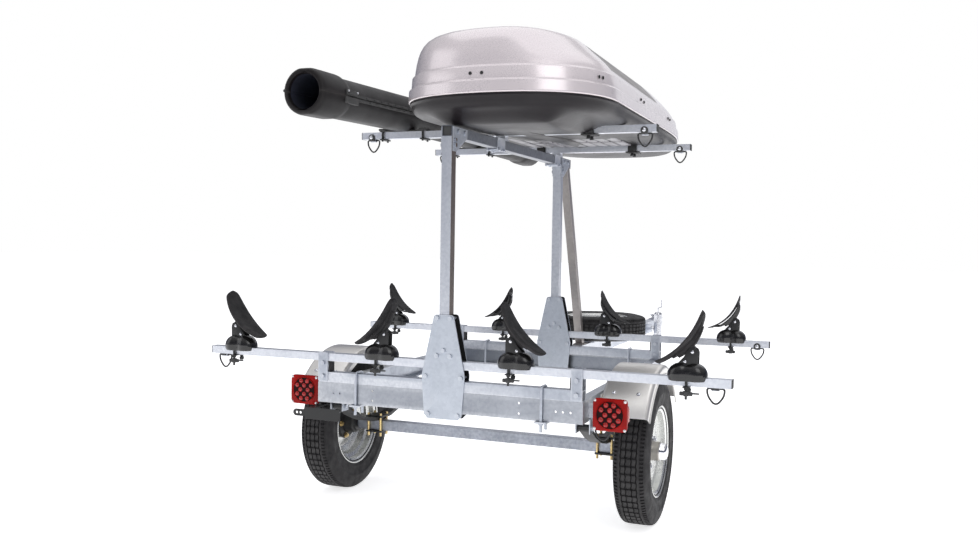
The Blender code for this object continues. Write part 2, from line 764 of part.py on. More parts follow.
def build_tail_light(side):
    """A square lamp: housing, raised frame, round lens and a marker lens at the outer side."""
    inner, outer = LIGHT_INNER_X, LIGHT_INNER_X + LIGHT_WIDTH
    top = LIGHT_BOTTOM + LIGHT_HEIGHT
    middle_x = side * (inner + outer) / 2
    middle_z = (LIGHT_BOTTOM + top) / 2
    inset = LIGHT_FRAME
    face = LIGHT_FACE_Y + LIGHT_FRAME_DEPTH
    pieces = [
        box(mirrored(inner, outer, side), (LIGHT_FACE_Y, face), (LIGHT_BOTTOM, top)),
        box(
            mirrored(inner + inset, outer - inset, side),
            (face - BITE, LIGHT_FACE_Y + LIGHT_DEPTH),
            (LIGHT_BOTTOM + inset, top - inset),
        ),
        rod("y", (middle_x, middle_z), LIGHT_FACE_Y - LIGHT_DISC_DEPTH, face - BITE, LIGHT_DISC_RADIUS, 20),
        box(
            mirrored(outer - inset - BITE, outer - inset + MARKER_WIDTH, side),
            (face + MARKER_SETBACK, LIGHT_FACE_Y + LIGHT_DEPTH - MARKER_SETBACK),
            (middle_z - MARKER_HEIGHT / 2, middle_z + MARKER_HEIGHT / 2),
        ),
    ]
    if side > 0:
        pieces.append(light_lead(middle_x))
    solid(f"{side_name(side)}_tail_light", "red_lens", pieces)


def light_lead(middle_x):
    """The loop of cable that leaves the right lamp and turns back up beside the frame."""
    y = LIGHT_FACE_Y + LIGHT_DEPTH / 2
    top = LIGHT_BOTTOM + LIGHT_FRAME + 0.002
    path = []
    for step in range(LEAD_STEPS + 1):
        turn = math.pi * step / LEAD_STEPS
        path.append((middle_x - LEAD_HALF_SPAN * (1 - math.cos(turn)), y, top - LEAD_DROP * math.sin(turn)))
    return bent_rod(path, LEAD_RADIUS, (0, 1, 0), 5)


def build_plate_bracket():
    """The black strip for a number plate with its narrow tab, on an arm under the left tail light."""
    left = NUMBER_STRIP_LEFT
    neck = left + NUMBER_TAB_LENGTH
    right = left + NUMBER_STRIP_LENGTH
    bottom = NUMBER_STRIP_BOTTOM
    top = bottom + NUMBER_STRIP_HEIGHT
    middle = (bottom + top) / 2
    sheet = NUMBER_STRIP_THICKNESS
    seat = LIGHT_FACE_Y + LIGHT_DEPTH + 2 * GAP + PLATE
    rise = FRAME_BOTTOM + LIGHT_PLATE_DROP + NUMBER_ARM_RISE
    half = NUMBER_TAB_HEIGHT / 2
    turns = [math.pi * (0.5 + step / 8) for step in range(9)]
    arc = [(left + half + half * math.cos(turn), middle + half * math.sin(turn)) for turn in turns]
    outline = [(right, top), (neck, top), (neck, middle + half), *arc, (neck, middle - half), (neck, bottom),
               (right, bottom)]
    arm = (neck + sheet, neck + sheet + NUMBER_ARM_WIDTH)
    pieces = [
        prism(outline, NUMBER_STRIP_Y, NUMBER_STRIP_Y + sheet, "y"),
        box(arm, (NUMBER_STRIP_Y + sheet / 2, seat + sheet), (top - 2 * sheet, top - sheet)),
        box(arm, (seat, seat + sheet), (top - 2 * sheet, rise)),
    ]
    low, high = NUMBER_STRIP_Y - sheet, NUMBER_STRIP_Y + 2 * sheet
    spots = [(left + place, middle) for place in NUMBER_HOLES]
    cuts = [rod("y", spot, low, high, NUMBER_HOLE_RADIUS, PIN_SIDES) for spot in spots]
    solid("plate_bracket", "black_steel", pieces, cuts)


def build_riser(end, face):
    """The square tube on a crossmember, with its U-bolts and the end plates for the load bar."""
    span = (-FRAME_HALF_WIDTH, FRAME_HALF_WIDTH)
    pieces = [hollow_bar(span, (face, face + TUBE), (RISER_BOTTOM, RISER_TOP), "x", TUBE_WALL)]
    for side in (-1, 1):
        pieces += riser_end_plates(side, face)
        pieces += riser_u_bolt(side, face)
    solid(f"{end}_riser", "galvanised", pieces)


def riser_end_plates(side, face):
    """Two flat plates, before and behind, that take the load bar between them."""
    outer = FRAME_HALF_WIDTH
    bottom = RISER_BOTTOM + RISER_PLATE_BASE
    span = mirrored(outer - RISER_PLATE_WIDTH, outer, side)
    height = (bottom, bottom + RISER_PLATE_HEIGHT)
    pieces = [
        box(span, (face - PLATE, face + BITE), height),
        box(span, (face + TUBE - BITE, face + TUBE + PLATE), height),
    ]
    middle = side * (outer - RISER_PLATE_WIDTH / 2)
    front = face + TUBE + PLATE
    pieces += bolt("y", (middle, LOAD_BAR_BOTTOM - BOLT_RADIUS - BOLT_MARGIN), face - PLATE, front)
    rear = face - PLATE
    for low, high in ((rear - BOLT_HEAD_HEIGHT, rear + BITE), (front - BITE, front + BOLT_HEAD_HEIGHT)):
        pieces.append(rod("y", (middle, RISER_BOTTOM + 0.6 * TUBE), low, high, BOLT_HEAD_RADIUS))
    return pieces


def riser_u_bolt(side, face):
    """A U-bolt over the riser and down both sides of the crossmember to a clamp plate."""
    x = side * U_BOLT_X + U_BOLT_SHIFT
    rear = face - BOLT_RADIUS - BOLT_MARGIN
    front = face + TUBE + BOLT_RADIUS + BOLT_MARGIN
    top = RISER_TOP + BOLT_RADIUS - BITE
    foot = FRAME_BOTTOM - U_BOLT_FOOT
    corner = U_BOLT_CORNER
    path = [
        (x, rear, foot), (x, rear, top - corner), (x, rear + corner * 0.3, top - corner * 0.3),
        (x, rear + corner, top), (x, front - corner, top), (x, front - corner * 0.3, top - corner * 0.3),
        (x, front, top - corner), (x, front, foot),
    ]
    seat = FRAME_BOTTOM - GAP
    half = U_BOLT_PLATE_WIDTH / 2
    span = (rear - U_BOLT_PLATE_MARGIN, front + U_BOLT_PLATE_MARGIN)
    plate = box((x - half, x + half), span, (seat - U_BOLT_PLATE, seat))
    pieces = [bent_rod(path, BOLT_RADIUS, (1, 0, 0)), plate]
    for y in (rear, front):
        nut_top = seat - U_BOLT_PLATE + BITE
        pieces.append(rod("z", (x, y), nut_top - BOLT_HEAD_HEIGHT, nut_top, BOLT_HEAD_RADIUS, 6))
    return pieces


def ring_clip(x, y, bottom):
    """A small block under a bar, with a slot for a tie-down ring's straight side."""
    drop = 2 * (RING_WIRE + RING_PLAY) + RING_CLIP_WALL
    half, deep = RING_CLIP_WIDTH / 2, RING_CLIP_DEPTH / 2
    return box((x - half, x + half), (y - deep, y + deep), (bottom - drop, bottom + BITE))


def ring_slot(x, y, bottom):
    """The space in a clip that a ring's straight side turns in."""
    room = RING_WIRE + RING_PLAY
    half = RING_CLIP_WIDTH / 2 + 0.002
    return box((x - half, x + half), (y - room, y + room), (bottom - 2 * room, bottom + 0.0002))


def build_ring(name, x, y, bar_bottom):
    """A wire ring with a straight top and curved sides that meet in a point."""
    pivot = (x, y, bar_bottom - RING_WIRE - RING_PLAY)
    half, drop = RING_HALF_WIDTH, RING_DROP
    corner = 0.0035
    right = [
        (half - corner, 0.0), (half, -corner * 0.6), (half + 0.0012, -0.16 * drop),
        (half * 0.93, -0.40 * drop), (half * 0.68, -0.68 * drop), (half * 0.30, -0.92 * drop),
    ]
    left = [(-px, pz) for px, pz in reversed(right)]
    path = [(x + px, y, pivot[2] + pz) for px, pz in [*right, (0.0, -drop), *left]]
    wire = bent_rod(path, RING_WIRE, (0, 1, 0), 5, closed=True)
    solid(name, "black_steel", [wire], origin=pivot, smooth=True)


def build_load_bar(end, face):
    """A long rectangular bar across the trailer, with a ring clip near each tip."""
    half = LOAD_BAR_LENGTH / 2
    middle = face + TUBE / 2
    y = (middle - LOAD_BAR_DEPTH / 2, middle + LOAD_BAR_DEPTH / 2)
    pieces = [hollow_bar((-half, half), y, (LOAD_BAR_BOTTOM, LOAD_BAR_TOP), "x", TUBE_WALL)]
    places = [side * (half - RING_END_INSET_LOWER) for side in (-1, 1)]
    pieces += [ring_clip(x, middle, LOAD_BAR_BOTTOM) for x in places]
    cuts = [ring_slot(x, middle, LOAD_BAR_BOTTOM) for x in places]
    solid(f"{end}_load_bar", "galvanised", pieces, cuts)
    for side, x in zip((-1, 1), places):
        if end == "rear" or side > 0:
            build_ring(f"lower_{end}_{side_name(side)}_ring", x, middle, LOAD_BAR_BOTTOM)


def post_plate_outline():
    """The tall plate: rounded top corners, widest at the waist, chamfered feet."""
    top_half, waist, foot = POST_PLATE_TOP_HALF, POST_PLATE_WAIST_HALF, POST_PLATE_FOOT_HALF
    corner = POST_PLATE_CORNER
    chamfer = POST_PLATE_CHAMFER
    right = [
        (foot - chamfer, POST_PLATE_BOTTOM), (foot, POST_PLATE_BOTTOM + chamfer),
        (waist, POST_PLATE_WAIST_Z - corner), (waist, POST_PLATE_WAIST_Z),
        (top_half, POST_PLATE_TOP - corner), (top_half - 0.3 * corner, POST_PLATE_TOP - 0.3 * corner),
        (top_half - corner, POST_PLATE_TOP),
    ]
    return right + [(-x, z) for x, z in reversed(right)]


def build_post_plates(end, face):
    """The pair of plates that clamps a post, load bar, riser and crossmember together."""
    outline = post_plate_outline()
    rear_low = face - GAP - PLATE
    front_low = face + TUBE + GAP
    pieces = [
        prism(outline, rear_low, rear_low + PLATE, "y"),
        prism(outline, front_low, front_low + PLATE, "y"),
    ]
    beside = TUBE / 2 + BOLT_RADIUS + 0.0015
    low_corner = POST_PLATE_FOOT_HALF - BOLT_RADIUS
    places = [
        (beside, POST_PLATE_TOP - POST_PLATE_BOLT_MARGIN), (beside, POST_BOTTOM + POST_PLATE_BOLT_MARGIN),
        (POST_PLATE_WAIST_HALF - POST_PLATE_CHAMFER, (RISER_TOP + LOAD_BAR_BOTTOM) / 2 - 0.008),
        (low_corner - POST_PLATE_CORNER, FRAME_BOTTOM - BOLT_RADIUS - BOLT_MARGIN),
    ]
    for x, z in places:
        for side in (-1, 1):
            pieces += bolt("y", (side * x, z), rear_low, front_low + PLATE)
    front_high = front_low + PLATE
    head = BOLT_HEAD_HEIGHT
    for low, high in ((rear_low - head, rear_low + BITE), (front_high - BITE, front_high + head)):
        pieces.append(rod("y", (0.0, POST_BOTTOM + 0.031), low, high, BOLT_HEAD_RADIUS, 6))
    solid(f"{end}_post_plates", "galvanised", pieces)


def build_post(end, face):
    """An upright tube with a pair of gusset plates that grip the beam's sides ahead of it."""
    half = TUBE / 2
    top = BEAM_BOTTOM - GAP
    pieces = [hollow_bar((-half, half), (face, face + TUBE), (POST_BOTTOM, top), "z", TUBE_WALL)]
    outer = face + GUSSET_MARGIN
    inner = face + TUBE - GUSSET_MARGIN
    far = outer + GUSSET_REACH
    foot = BEAM_BOTTOM - GUSSET_DROP
    head = BEAM_TOP - GUSSET_MARGIN
    outline = [(outer, foot), (inner, foot), (far, BEAM_BOTTOM + GUSSET_MARGIN), (far, head), (outer, head)]
    near = half + GAP
    for side in (-1, 1):
        pieces.append(prism(outline, *mirrored(near, near + GUSSET_THICKNESS, side), "x"))
        for reach in (0.35, 0.80):
            place = (outer + reach * GUSSET_REACH, (BEAM_BOTTOM + BEAM_TOP) / 2)
            head_span = mirrored(near + GUSSET_THICKNESS - BITE, near + GUSSET_THICKNESS + 0.005, side)
            pieces.append(rod("x", place, *head_span, BOLT_HEAD_RADIUS, 6))
    reach = near + GUSSET_THICKNESS
    pieces += bolt("x", (face + half, BEAM_BOTTOM - 0.030), -reach, reach)
    pieces += bolt("x", (face + half, BEAM_BOTTOM - 0.012), -reach, reach, 0.004, 0.007)
    solid(f"{end}_post", "galvanised", pieces)


def build_beam():
    """The tube along the top that the upper bars are clamped to."""
    half = TUBE / 2
    span = (REAR_FACE, BEAM_FRONT)
    bar = hollow_bar((-half, half), span, (BEAM_BOTTOM, BEAM_TOP), "y", TUBE_WALL)
    solid("upper_beam", "galvanised", [bar])


def build_brace():
    """The slanting tube from the beam's front end down to a pad on the tongue."""
    half = TUBE / 2
    low, high = FRAME_TOP + GAP, BEAM_BOTTOM - GAP
    slope = (BRACE_FOOT_Y - BRACE_TOP_Y) / (high - low)
    width = half * math.sqrt(1 + slope * slope)
    outline = [
        (BRACE_FOOT_Y - width, low), (BRACE_FOOT_Y + width, low),
        (BRACE_TOP_Y + width, high), (BRACE_TOP_Y - width, high),
    ]
    pad = BRACE_FOOT_LENGTH / 2
    head = min(pad, BEAM_FRONT - BRACE_TOP_Y)
    pieces = [
        prism(outline, -half, half, "x"),
        box((-half - 0.006, half + 0.006), (BRACE_FOOT_Y - pad, BRACE_FOOT_Y + pad), (low, low + BRACE_PAD)),
        box((-half, half), (BRACE_TOP_Y - head, BRACE_TOP_Y + head), (high - BRACE_PAD, high)),
    ]
    solid("brace", "galvanised", pieces)


def build_upper_bar(end, face):
    """A shorter bar above the beam, on a block whose cheeks hold the beam's sides."""
    half = UPPER_BAR_LENGTH / 2
    y = (face, face + UPPER_BAR_DEPTH)
    middle = sum(y) / 2
    pieces = [hollow_bar((-half, half), y, (UPPER_BAR_BOTTOM, UPPER_BAR_TOP), "x", TUBE_WALL)]
    near = TUBE / 2 + GAP
    cheek = near + GUSSET_THICKNESS
    seat = BEAM_TOP + GAP
    high = face - BEAM_CLAMP_SETBACK
    low = high - BEAM_CLAMP_LENGTH
    pieces.append(box((-cheek, cheek), (low, y[1]), (seat, seat + GUSSET_THICKNESS)))
    pieces.append(box((-near, near), y, (seat, UPPER_BAR_BOTTOM + BITE)))
    under = BEAM_BOTTOM - BEAM_CLAMP_DROP - 0.004
    for side in (-1, 1):
        span = mirrored(near, cheek, side)
        pieces.append(box(span, (low, high), (under, seat + GUSSET_THICKNESS)))
    for place in (low + 0.015, high - 0.015):
        pieces += bolt("x", (place, BEAM_BOTTOM - BEAM_CLAMP_DROP), -cheek, cheek, 0.004, 0.007)
    places = [side * (half - RING_END_INSET_UPPER) for side in (-1, 1)]
    pieces += [ring_clip(x, middle, UPPER_BAR_BOTTOM) for x in places]
    cuts = [ring_slot(x, middle, UPPER_BAR_BOTTOM) for x in places]
    solid(f"{end}_upper_bar", "galvanised", pieces, cuts)
    for side, x in zip((-1, 1), places):
        if end == "rear" or side > 0:
            build_ring(f"upper_{end}_{side_name(side)}_ring", x, middle, UPPER_BAR_BOTTOM)


def build_tongue():
    """The drawbar, with ears against the front plates and the carrier of the spare wheel."""
    half = TONGUE_WIDTH / 2
    ear = half + TONGUE_EAR_WIDTH
    top = FRAME_TOP + CARRIER_THICKNESS
    pieces = [
        hollow_bar((-half, half), (TONGUE_START, TONGUE_END), (FRAME_BOTTOM, FRAME_TOP), "y", TUBE_WALL),
        box((-ear, ear), (TONGUE_START, TONGUE_START + PLATE), (FRAME_BOTTOM + 0.004, FRAME_TOP - 0.004)),
        box(
            (-CARRIER_HALF, CARRIER_HALF), (SPARE_Y - CARRIER_REACH, SPARE_Y + CARRIER_REACH),
            (FRAME_TOP - BITE, top),
        ),
        rod("z", (0.0, SPARE_Y), top - BITE, top + CARRIER_STUD_RISE, CARRIER_STUD_RADIUS),
    ]
    pieces += jack_bracket()
    solid("tongue", "galvanised", pieces)


def jack_pivot_z():
    """The height of the pin that the jack swings about."""
    return (FRAME_BOTTOM + FRAME_TOP) / 2


def jack_bracket():
    """The round flange on the tongue's right side that the jack swings on."""
    inner = TONGUE_WIDTH / 2
    face = JACK_X - JACK_RADIUS - JACK_FLANGE_SEAT
    centre = (JACK_Y, jack_pivot_z())
    return [rod("x", centre, inner - BITE, face, JACK_PIVOT_RADIUS * 1.6, 12)]


def build_spare_wheel():
    """The spare lies flat on its carrier, with its tyre mounted."""
    bottom = FRAME_TOP + CARRIER_THICKNESS + GAP
    half = TYRE_WIDTH / 2
    middle = bottom + half
    seat = RIM_SEAT_RADIUS
    side = TYRE_RADIUS - seat
    edge = [
        (half - 0.012, seat - 0.004), (half - 0.006, RIM_FLANGE_RADIUS), (half, seat + 0.50 * side),
        (half - 0.008, TYRE_RADIUS - 0.014), (half - 0.030, TYRE_RADIUS),
    ]
    under = [(-along, radius) for along, radius in reversed(edge)]
    web_top, web_low = 0.030, 0.022
    profile = [
        (web_top, SPARE_HOLE_RADIUS), (web_top, 0.45 * seat), (web_top - 0.010, 0.80 * seat),
        (web_top, seat - 0.004), *edge, *under, (web_low, seat - 0.004), (web_low - 0.010, 0.80 * seat),
        (web_low, 0.45 * seat), (web_low, SPARE_HOLE_RADIUS),
    ]
    mesh = lathe(profile, (0.0, SPARE_Y, middle), "z", SPARE_STEPS)
    solid("spare_wheel", "tyre_rubber", [mesh], smooth=True)


def build_coupler():
    """The hitch head: a tapering block whose nose has a ball socket from below."""
    half = TONGUE_WIDTH / 2
    start = TONGUE_END + GAP
    nose = start + COUPLER_LENGTH
    top = FRAME_TOP
    low = FRAME_TOP - COUPLER_HEIGHT
    neck = 0.5 * (start + nose)
    outline = [(-half, start), (half, start), (COUPLER_NOSE_RADIUS, neck)]
    centre_y = nose - COUPLER_NOSE_RADIUS
    arc = [(COUPLER_NOSE_RADIUS * math.cos(turn), centre_y + COUPLER_NOSE_RADIUS * math.sin(turn))
           for turn in [math.pi * step / 10 for step in range(11)]]
    outline += [*arc, (-COUPLER_NOSE_RADIUS, neck)]
    lug = LATCH_LUG_X
    hinge = latch_pivot()
    pieces = [prism(outline, low, top, "z")]
    for side in (-1, 1):
        pieces.append(box(
            mirrored(lug, lug + 0.005, side), (hinge[1] - 0.010, hinge[1] + 0.010),
            (top - BITE, hinge[2] + LATCH_HALF_HEIGHT),
        ))
    pieces.append(rod("x", (hinge[1], hinge[2]), -lug - 0.008, lug + 0.008, LATCH_PIN_RADIUS, PIN_SIDES))
    cuts = [
        rod("z", (0.0, centre_y), low - BITE, low + SOCKET_DEPTH - 0.012, SOCKET_RADIUS, 20),
        rod("z", (0.0, centre_y), low, low + SOCKET_DEPTH, SOCKET_RADIUS * 0.7, 20),
    ]
    solid("coupler", "zinc", pieces, cuts)


def latch_pivot():
    """The middle of the coupler latch's pin."""
    return (0.0, TONGUE_END + 0.55 * COUPLER_LENGTH, FRAME_TOP + LATCH_PIN_RISE)


def build_coupler_latch():
    """The lever that locks the ball, lying back along the coupler."""
    x, y, z = latch_pivot()
    half = LATCH_WIDTH / 2
    bore = LATCH_PIN_RADIUS + 2 * GAP
    low, high = z - LATCH_HALF_HEIGHT, z + LATCH_HALF_HEIGHT
    tail = y - LATCH_LENGTH
    tip = high + LATCH_TAIL_RISE
    outline = [
        (y + 0.009, low), (y + 0.009, high), (tail + 0.030, high), (tail, tip),
        (tail, tip - LATCH_THICKNESS), (tail + 0.032, high - LATCH_THICKNESS),
        (y - 0.015, high - LATCH_THICKNESS), (y - 0.009, low),
    ]
    cuts = [rod("x", (y, z), -half - 0.002, half + 0.002, bore, PIN_SIDES)]
    solid("coupler_latch", "zinc", [prism(outline, -half, half, "x")], cuts, origin=(x, y, z))


def build_jack():
    """The jack's outer tube with its swivel flange and crank, and the leg inside it."""
    pivot = (JACK_X - JACK_RADIUS - JACK_FLANGE_SEAT / 2, JACK_Y, jack_pivot_z())
    bore = JACK_RADIUS - JACK_WALL
    profile = [
        (JACK_BOTTOM, bore), (JACK_BOTTOM, JACK_RADIUS), (JACK_TOP, JACK_RADIUS),
        (JACK_TOP + JACK_CAP_HEIGHT, JACK_RADIUS * 0.8), (JACK_TOP + JACK_CAP_HEIGHT, 0.0),
        (JACK_TOP - JACK_CAP_WALL, 0.0), (JACK_TOP - JACK_CAP_WALL, bore),
    ]
    tube = lathe(profile, (JACK_X, JACK_Y, 0.0), "z", JACK_STEPS)
    flange = rod(
        "x", (pivot[1], pivot[2]), JACK_X - JACK_RADIUS - JACK_FLANGE_SEAT + GAP,
        JACK_X - JACK_RADIUS + JACK_WALL / 2, JACK_PIVOT_RADIUS, 12,
    )
    crank_z = JACK_TOP + JACK_CRANK_RISE
    arm = JACK_Y + JACK_CRANK_ARM
    crank = bent_rod(
        [(JACK_X, JACK_Y, JACK_TOP), (JACK_X, JACK_Y, crank_z), (JACK_X, arm, crank_z),
         (JACK_X, arm, crank_z + JACK_CRANK_GRIP)],
        JACK_CRANK_ROD, (1, 0, 0),
    )
    solid("jack", "zinc", [tube, flange, crank], origin=pivot)
    leg = [
        (0.0, 0.0), (0.0, JACK_FOOT_RADIUS), (JACK_FOOT_THICKNESS, JACK_FOOT_RADIUS),
        (JACK_FOOT_THICKNESS, JACK_LEG_RADIUS), (JACK_LEG_TOP, JACK_LEG_RADIUS), (JACK_LEG_TOP, 0.0),
    ]
    foot = (JACK_X, JACK_Y, 0.0)
    solid("jack_leg", "zinc", [lathe(leg, foot, "z", JACK_STEPS)], origin=foot)


def build_saddle(name, x, side, face):
    """A clamp base on the load bar and a curved pad that tilts on it; side points to the kayak."""
    middle = face + TUBE / 2
    half = SADDLE_BASE_LENGTH / 2
    seat = LOAD_BAR_TOP + GAP
    top = seat + SADDLE_BASE_HEIGHT
    wide = SADDLE_BASE_WIDTH / 2
    pivot = (x + side * SADDLE_PIVOT_OFFSET, middle, LOAD_BAR_TOP + SADDLE_PIVOT_HEIGHT)
    neck = SADDLE_NECK_WIDTH / 2
    ear = SADDLE_EAR_RADIUS
    levels = [(seat, 1.0, 1.0), (seat + 0.45 * SADDLE_BASE_HEIGHT, 0.92, 0.90), (top, 0.40, 0.46)]
    oval = [(math.copysign(abs(math.cos(turn)) ** 0.6, math.cos(turn)),
             math.copysign(abs(math.sin(turn)) ** 0.6, math.sin(turn)))
            for turn in [2 * math.pi * (step + 0.5) / 10 for step in range(10)]]
    dome = loft([[(x + half * long * u, middle + wide * broad * v, z) for u, v in oval]
                 for z, long, broad in levels])
    neck_outline = [
        (pivot[0] - ear, top - 0.012), (pivot[0] + ear, top - 0.012),
        (pivot[0] + ear, pivot[2]), (pivot[0] + ear * 0.5, pivot[2] + ear * 0.6),
        (pivot[0] - ear * 0.5, pivot[2] + ear * 0.6), (pivot[0] - ear, pivot[2]),
    ]
    pieces = [dome, prism(neck_outline, middle - neck, middle + neck, "y")]
    pieces += saddle_clamp(x, middle, seat)
    pin = SADDLE_PIN_RADIUS + SADDLE_PIN_PLAY
    cuts = [rod("y", (pivot[0], pivot[2]), middle - 2 * neck, middle + 2 * neck, pin, PIN_SIDES)]
    solid(f"{name}_base", "black_plastic", pieces, cuts)
    build_pad(name, x, side, middle, pivot)


def saddle_clamp(x, middle, seat):
    """Two bolts down past the bar to a plate and a hand knob below it."""
    reach = LOAD_BAR_DEPTH / 2 + BOLT_RADIUS + 0.001
    under = LOAD_BAR_BOTTOM - GAP
    spread = SADDLE_BOLT_SPREAD
    pieces = [box(
        (x - spread - 0.010, x + spread + 0.010), (middle - reach - 0.008, middle + reach + 0.008),
        (under - SADDLE_PLATE, under),
    )]
    for end in (-1, 1):
        spot = (x, middle + end * reach)
        low, high = under - SADDLE_PLATE - SADDLE_KNOB_DROP, under - SADDLE_PLATE / 2
        pieces.append(rod("z", spot, high, seat + SADDLE_BOLT_SPREAD, BOLT_RADIUS))
        pieces.append(rod("z", spot, low, high, SADDLE_KNOB_RADIUS))
    return pieces


def build_pad(name, x, side, middle, pivot):
    """A long cradle pad, bowed away from the hull, with two ears and a pin through the base."""
    rings = []
    for step in range(PAD_STEPS + 1):
        part = step / PAD_STEPS
        swell = math.sin(math.pi * part)
        width = PAD_TIP_WIDTH + (PAD_WIDTH - PAD_TIP_WIDTH) * math.sqrt(max(0.0, swell))
        keel = PAD_THICKNESS + PAD_KEEL * swell
        corners = [
            (0.0, -1.0), (0.0, 1.0), (PAD_THICKNESS, 0.92), (keel, PAD_KEEL_WIDTH), (keel, -PAD_KEEL_WIDTH),
            (PAD_THICKNESS, -0.92),
        ]
        ring = []
        for below, share in corners:
            spot = pad_point(part, below + BITE * abs(share))
            ring.append((x + side * spot.x, middle + share * width / 2, LOAD_BAR_TOP + spot.y))
        rings.append(ring)
    ear = SADDLE_EAR_RADIUS
    inner = SADDLE_NECK_WIDTH / 2 + 2 * GAP
    outer = inner + SADDLE_EAR_WIDTH
    pin = (middle - outer + BITE, middle + outer - BITE)
    rise = LOAD_BAR_TOP + pad_height(SADDLE_PIVOT_OFFSET) + PAD_THICKNESS / 3
    outline = [
        (pivot[0] - ear * 0.7, pivot[2] - ear * 0.7), (pivot[0] + ear * 0.7, pivot[2] - ear * 0.7),
        (pivot[0] + ear, pivot[2]), (pivot[0] + ear * 0.9, rise), (pivot[0] - ear * 0.9, rise),
        (pivot[0] - ear, pivot[2]),
    ]
    pieces = [
        loft(rings),
        prism(outline, middle - outer, middle - inner, "y"),
        prism(outline, middle + inner, middle + outer, "y"),
        rod("y", (pivot[0], pivot[2]), *pin, SADDLE_PIN_RADIUS, PIN_SIDES),
    ]
    solid(f"{name}_pad", "black_rubber", pieces, origin=pivot, smooth=True)


def pad_point(part, below):
    """A point of the pad's side view at a share of its length, below its upper face."""
    start, finish = Vector(PAD_TOP), Vector(PAD_BOTTOM)
    along = (finish - start).normalized()
    under = Vector((along.y, -along.x))
    return start + (finish - start) * part + under * (PAD_SAG * 4 * part * (1 - part) + below)


def pad_height(offset):
    """The height of the pad's underside above the bar, at a distance from the saddle's middle."""
    spots = [pad_point(step / 100, PAD_THICKNESS) for step in range(101)]
    return min(spots, key=lambda spot: abs(spot.x - offset)).y


def box_outline(inset, level):
    """The cargo box seen from above: blunt at the rear, long and rounded at the front."""
    points = []
    split_rear = BOX_REAR_Y + BOX_REAR_LENGTH
    split_front = BOX_FRONT_Y - BOX_FRONT_LENGTH
    for step in range(BOX_STEPS):
        turn = 2 * math.pi * (step + 0.5) / BOX_STEPS
        forward = math.sin(turn) > 0
        power = 2 / (BOX_FRONT_POWER if forward else BOX_REAR_POWER)
        length = BOX_FRONT_LENGTH if forward else BOX_REAR_LENGTH
        across = math.copysign(abs(math.cos(turn)) ** power, math.cos(turn))
        reach = abs(math.sin(turn)) ** power
        x = BOX_CENTRE_X + (BOX_HALF_WIDTH - inset) * across
        if forward:
            y = split_front + (length - inset) * reach
        else:
            y = split_rear - (length - inset) * reach
        points.append((x, y, level))
    return points


def build_box_base():
    """The tray: a flat floor on the bars, sloping sides and a lip for the lid, with bar clamps."""
    bottom, rim = BOX_BOTTOM, BOX_LIP_BOTTOM - GAP
    wall = BOX_WALL
    rings = [
        box_outline(0.070, bottom), box_outline(0.026, rim - 0.014),
        box_outline(0.001, rim - 0.008), box_outline(0.001, rim),
        box_outline(0.026 + wall, rim), box_outline(0.070, bottom + wall),
    ]
    bulge_rings = []
    depth = BOX_BULGE_DEPTH
    for level, inset in ((bottom - depth, 0.055), (bottom - depth / 2, 0.020), (bottom + BITE, 0.0)):
        span = (BOX_BULGE_LEFT + inset, BOX_BULGE_RIGHT - inset)
        deep = (BOX_REAR_Y + 0.085 + inset * 0.5, UPPER_REAR_FACE - 0.060 - inset)
        bulge_rings.append([(x, y, level) for x, y in rectangle(span, deep)])
    pieces = [loft(rings), loft(bulge_rings)]
    for face in (UPPER_REAR_FACE, UPPER_FRONT_FACE):
        for x in (BOX_CENTRE_X - BOX_CLAMP_SPREAD, BOX_CENTRE_X + BOX_CLAMP_SPREAD):
            pieces += bar_clamp(x, face, bottom + wall / 2)
    solid("cargo_box_base", "black_plastic", pieces, smooth=True)


def bar_clamp(x, face, top):
    """A clamp round an upper bar: a rod before and behind it and a plate below."""
    radius = CLAMP_ROD_RADIUS
    rear = face - radius - 0.001
    front = face + UPPER_BAR_DEPTH + radius + 0.001
    under = UPPER_BAR_BOTTOM - GAP
    span = (rear - CLAMP_HALF / 2, front + CLAMP_HALF / 2)
    pieces = [box((x - CLAMP_HALF, x + CLAMP_HALF), span, (under - CLAMP_PLATE, under))]
    for y in (rear, front):
        pieces.append(rod("z", (x, y), under - 2 * CLAMP_PLATE, top, radius, 4))
    return pieces


def lid_level(share):
    """The lid's height at a share of its rise, before its fall to the front."""
    return BOX_LIP_TOP + BOX_LID_RISE * share


def sloped(points):
    """Lower a ring of the lid in step with its distance from the rear."""
    length = BOX_FRONT_Y - BOX_REAR_Y
    result = []
    for x, y, z in points:
        share = max(0.0, (z - BOX_LIP_TOP) / BOX_LID_RISE)
        result.append((x, y, z - BOX_LID_FALL * share * (y - BOX_REAR_Y) / length))
    return result


def build_box_lid():
    """The domed lid over the tray, hinged along its left side."""
    low = BOX_LIP_BOTTOM
    wall = BOX_WALL
    skin = [
        (0.0, low), (0.0, BOX_LIP_TOP), (0.014, lid_level(0.10)), (0.030, lid_level(0.45)),
        (0.055, lid_level(0.76)), (0.100, lid_level(0.93)), (0.165, lid_level(1.0)),
    ]
    rings = [sloped(box_outline(inset, level)) for inset, level in skin]
    inner = [sloped(box_outline(inset + wall, max(low, level - wall))) for inset, level in reversed(skin)]
    pivot = (BOX_CENTRE_X - BOX_HALF_WIDTH - BOX_HINGE_OFFSET, BOX_REAR_Y + BOX_HINGE_REACH, low)
    solid("cargo_box_lid", "silver_paint", [closed_cup(rings + inner, len(rings))], origin=pivot, smooth=True)


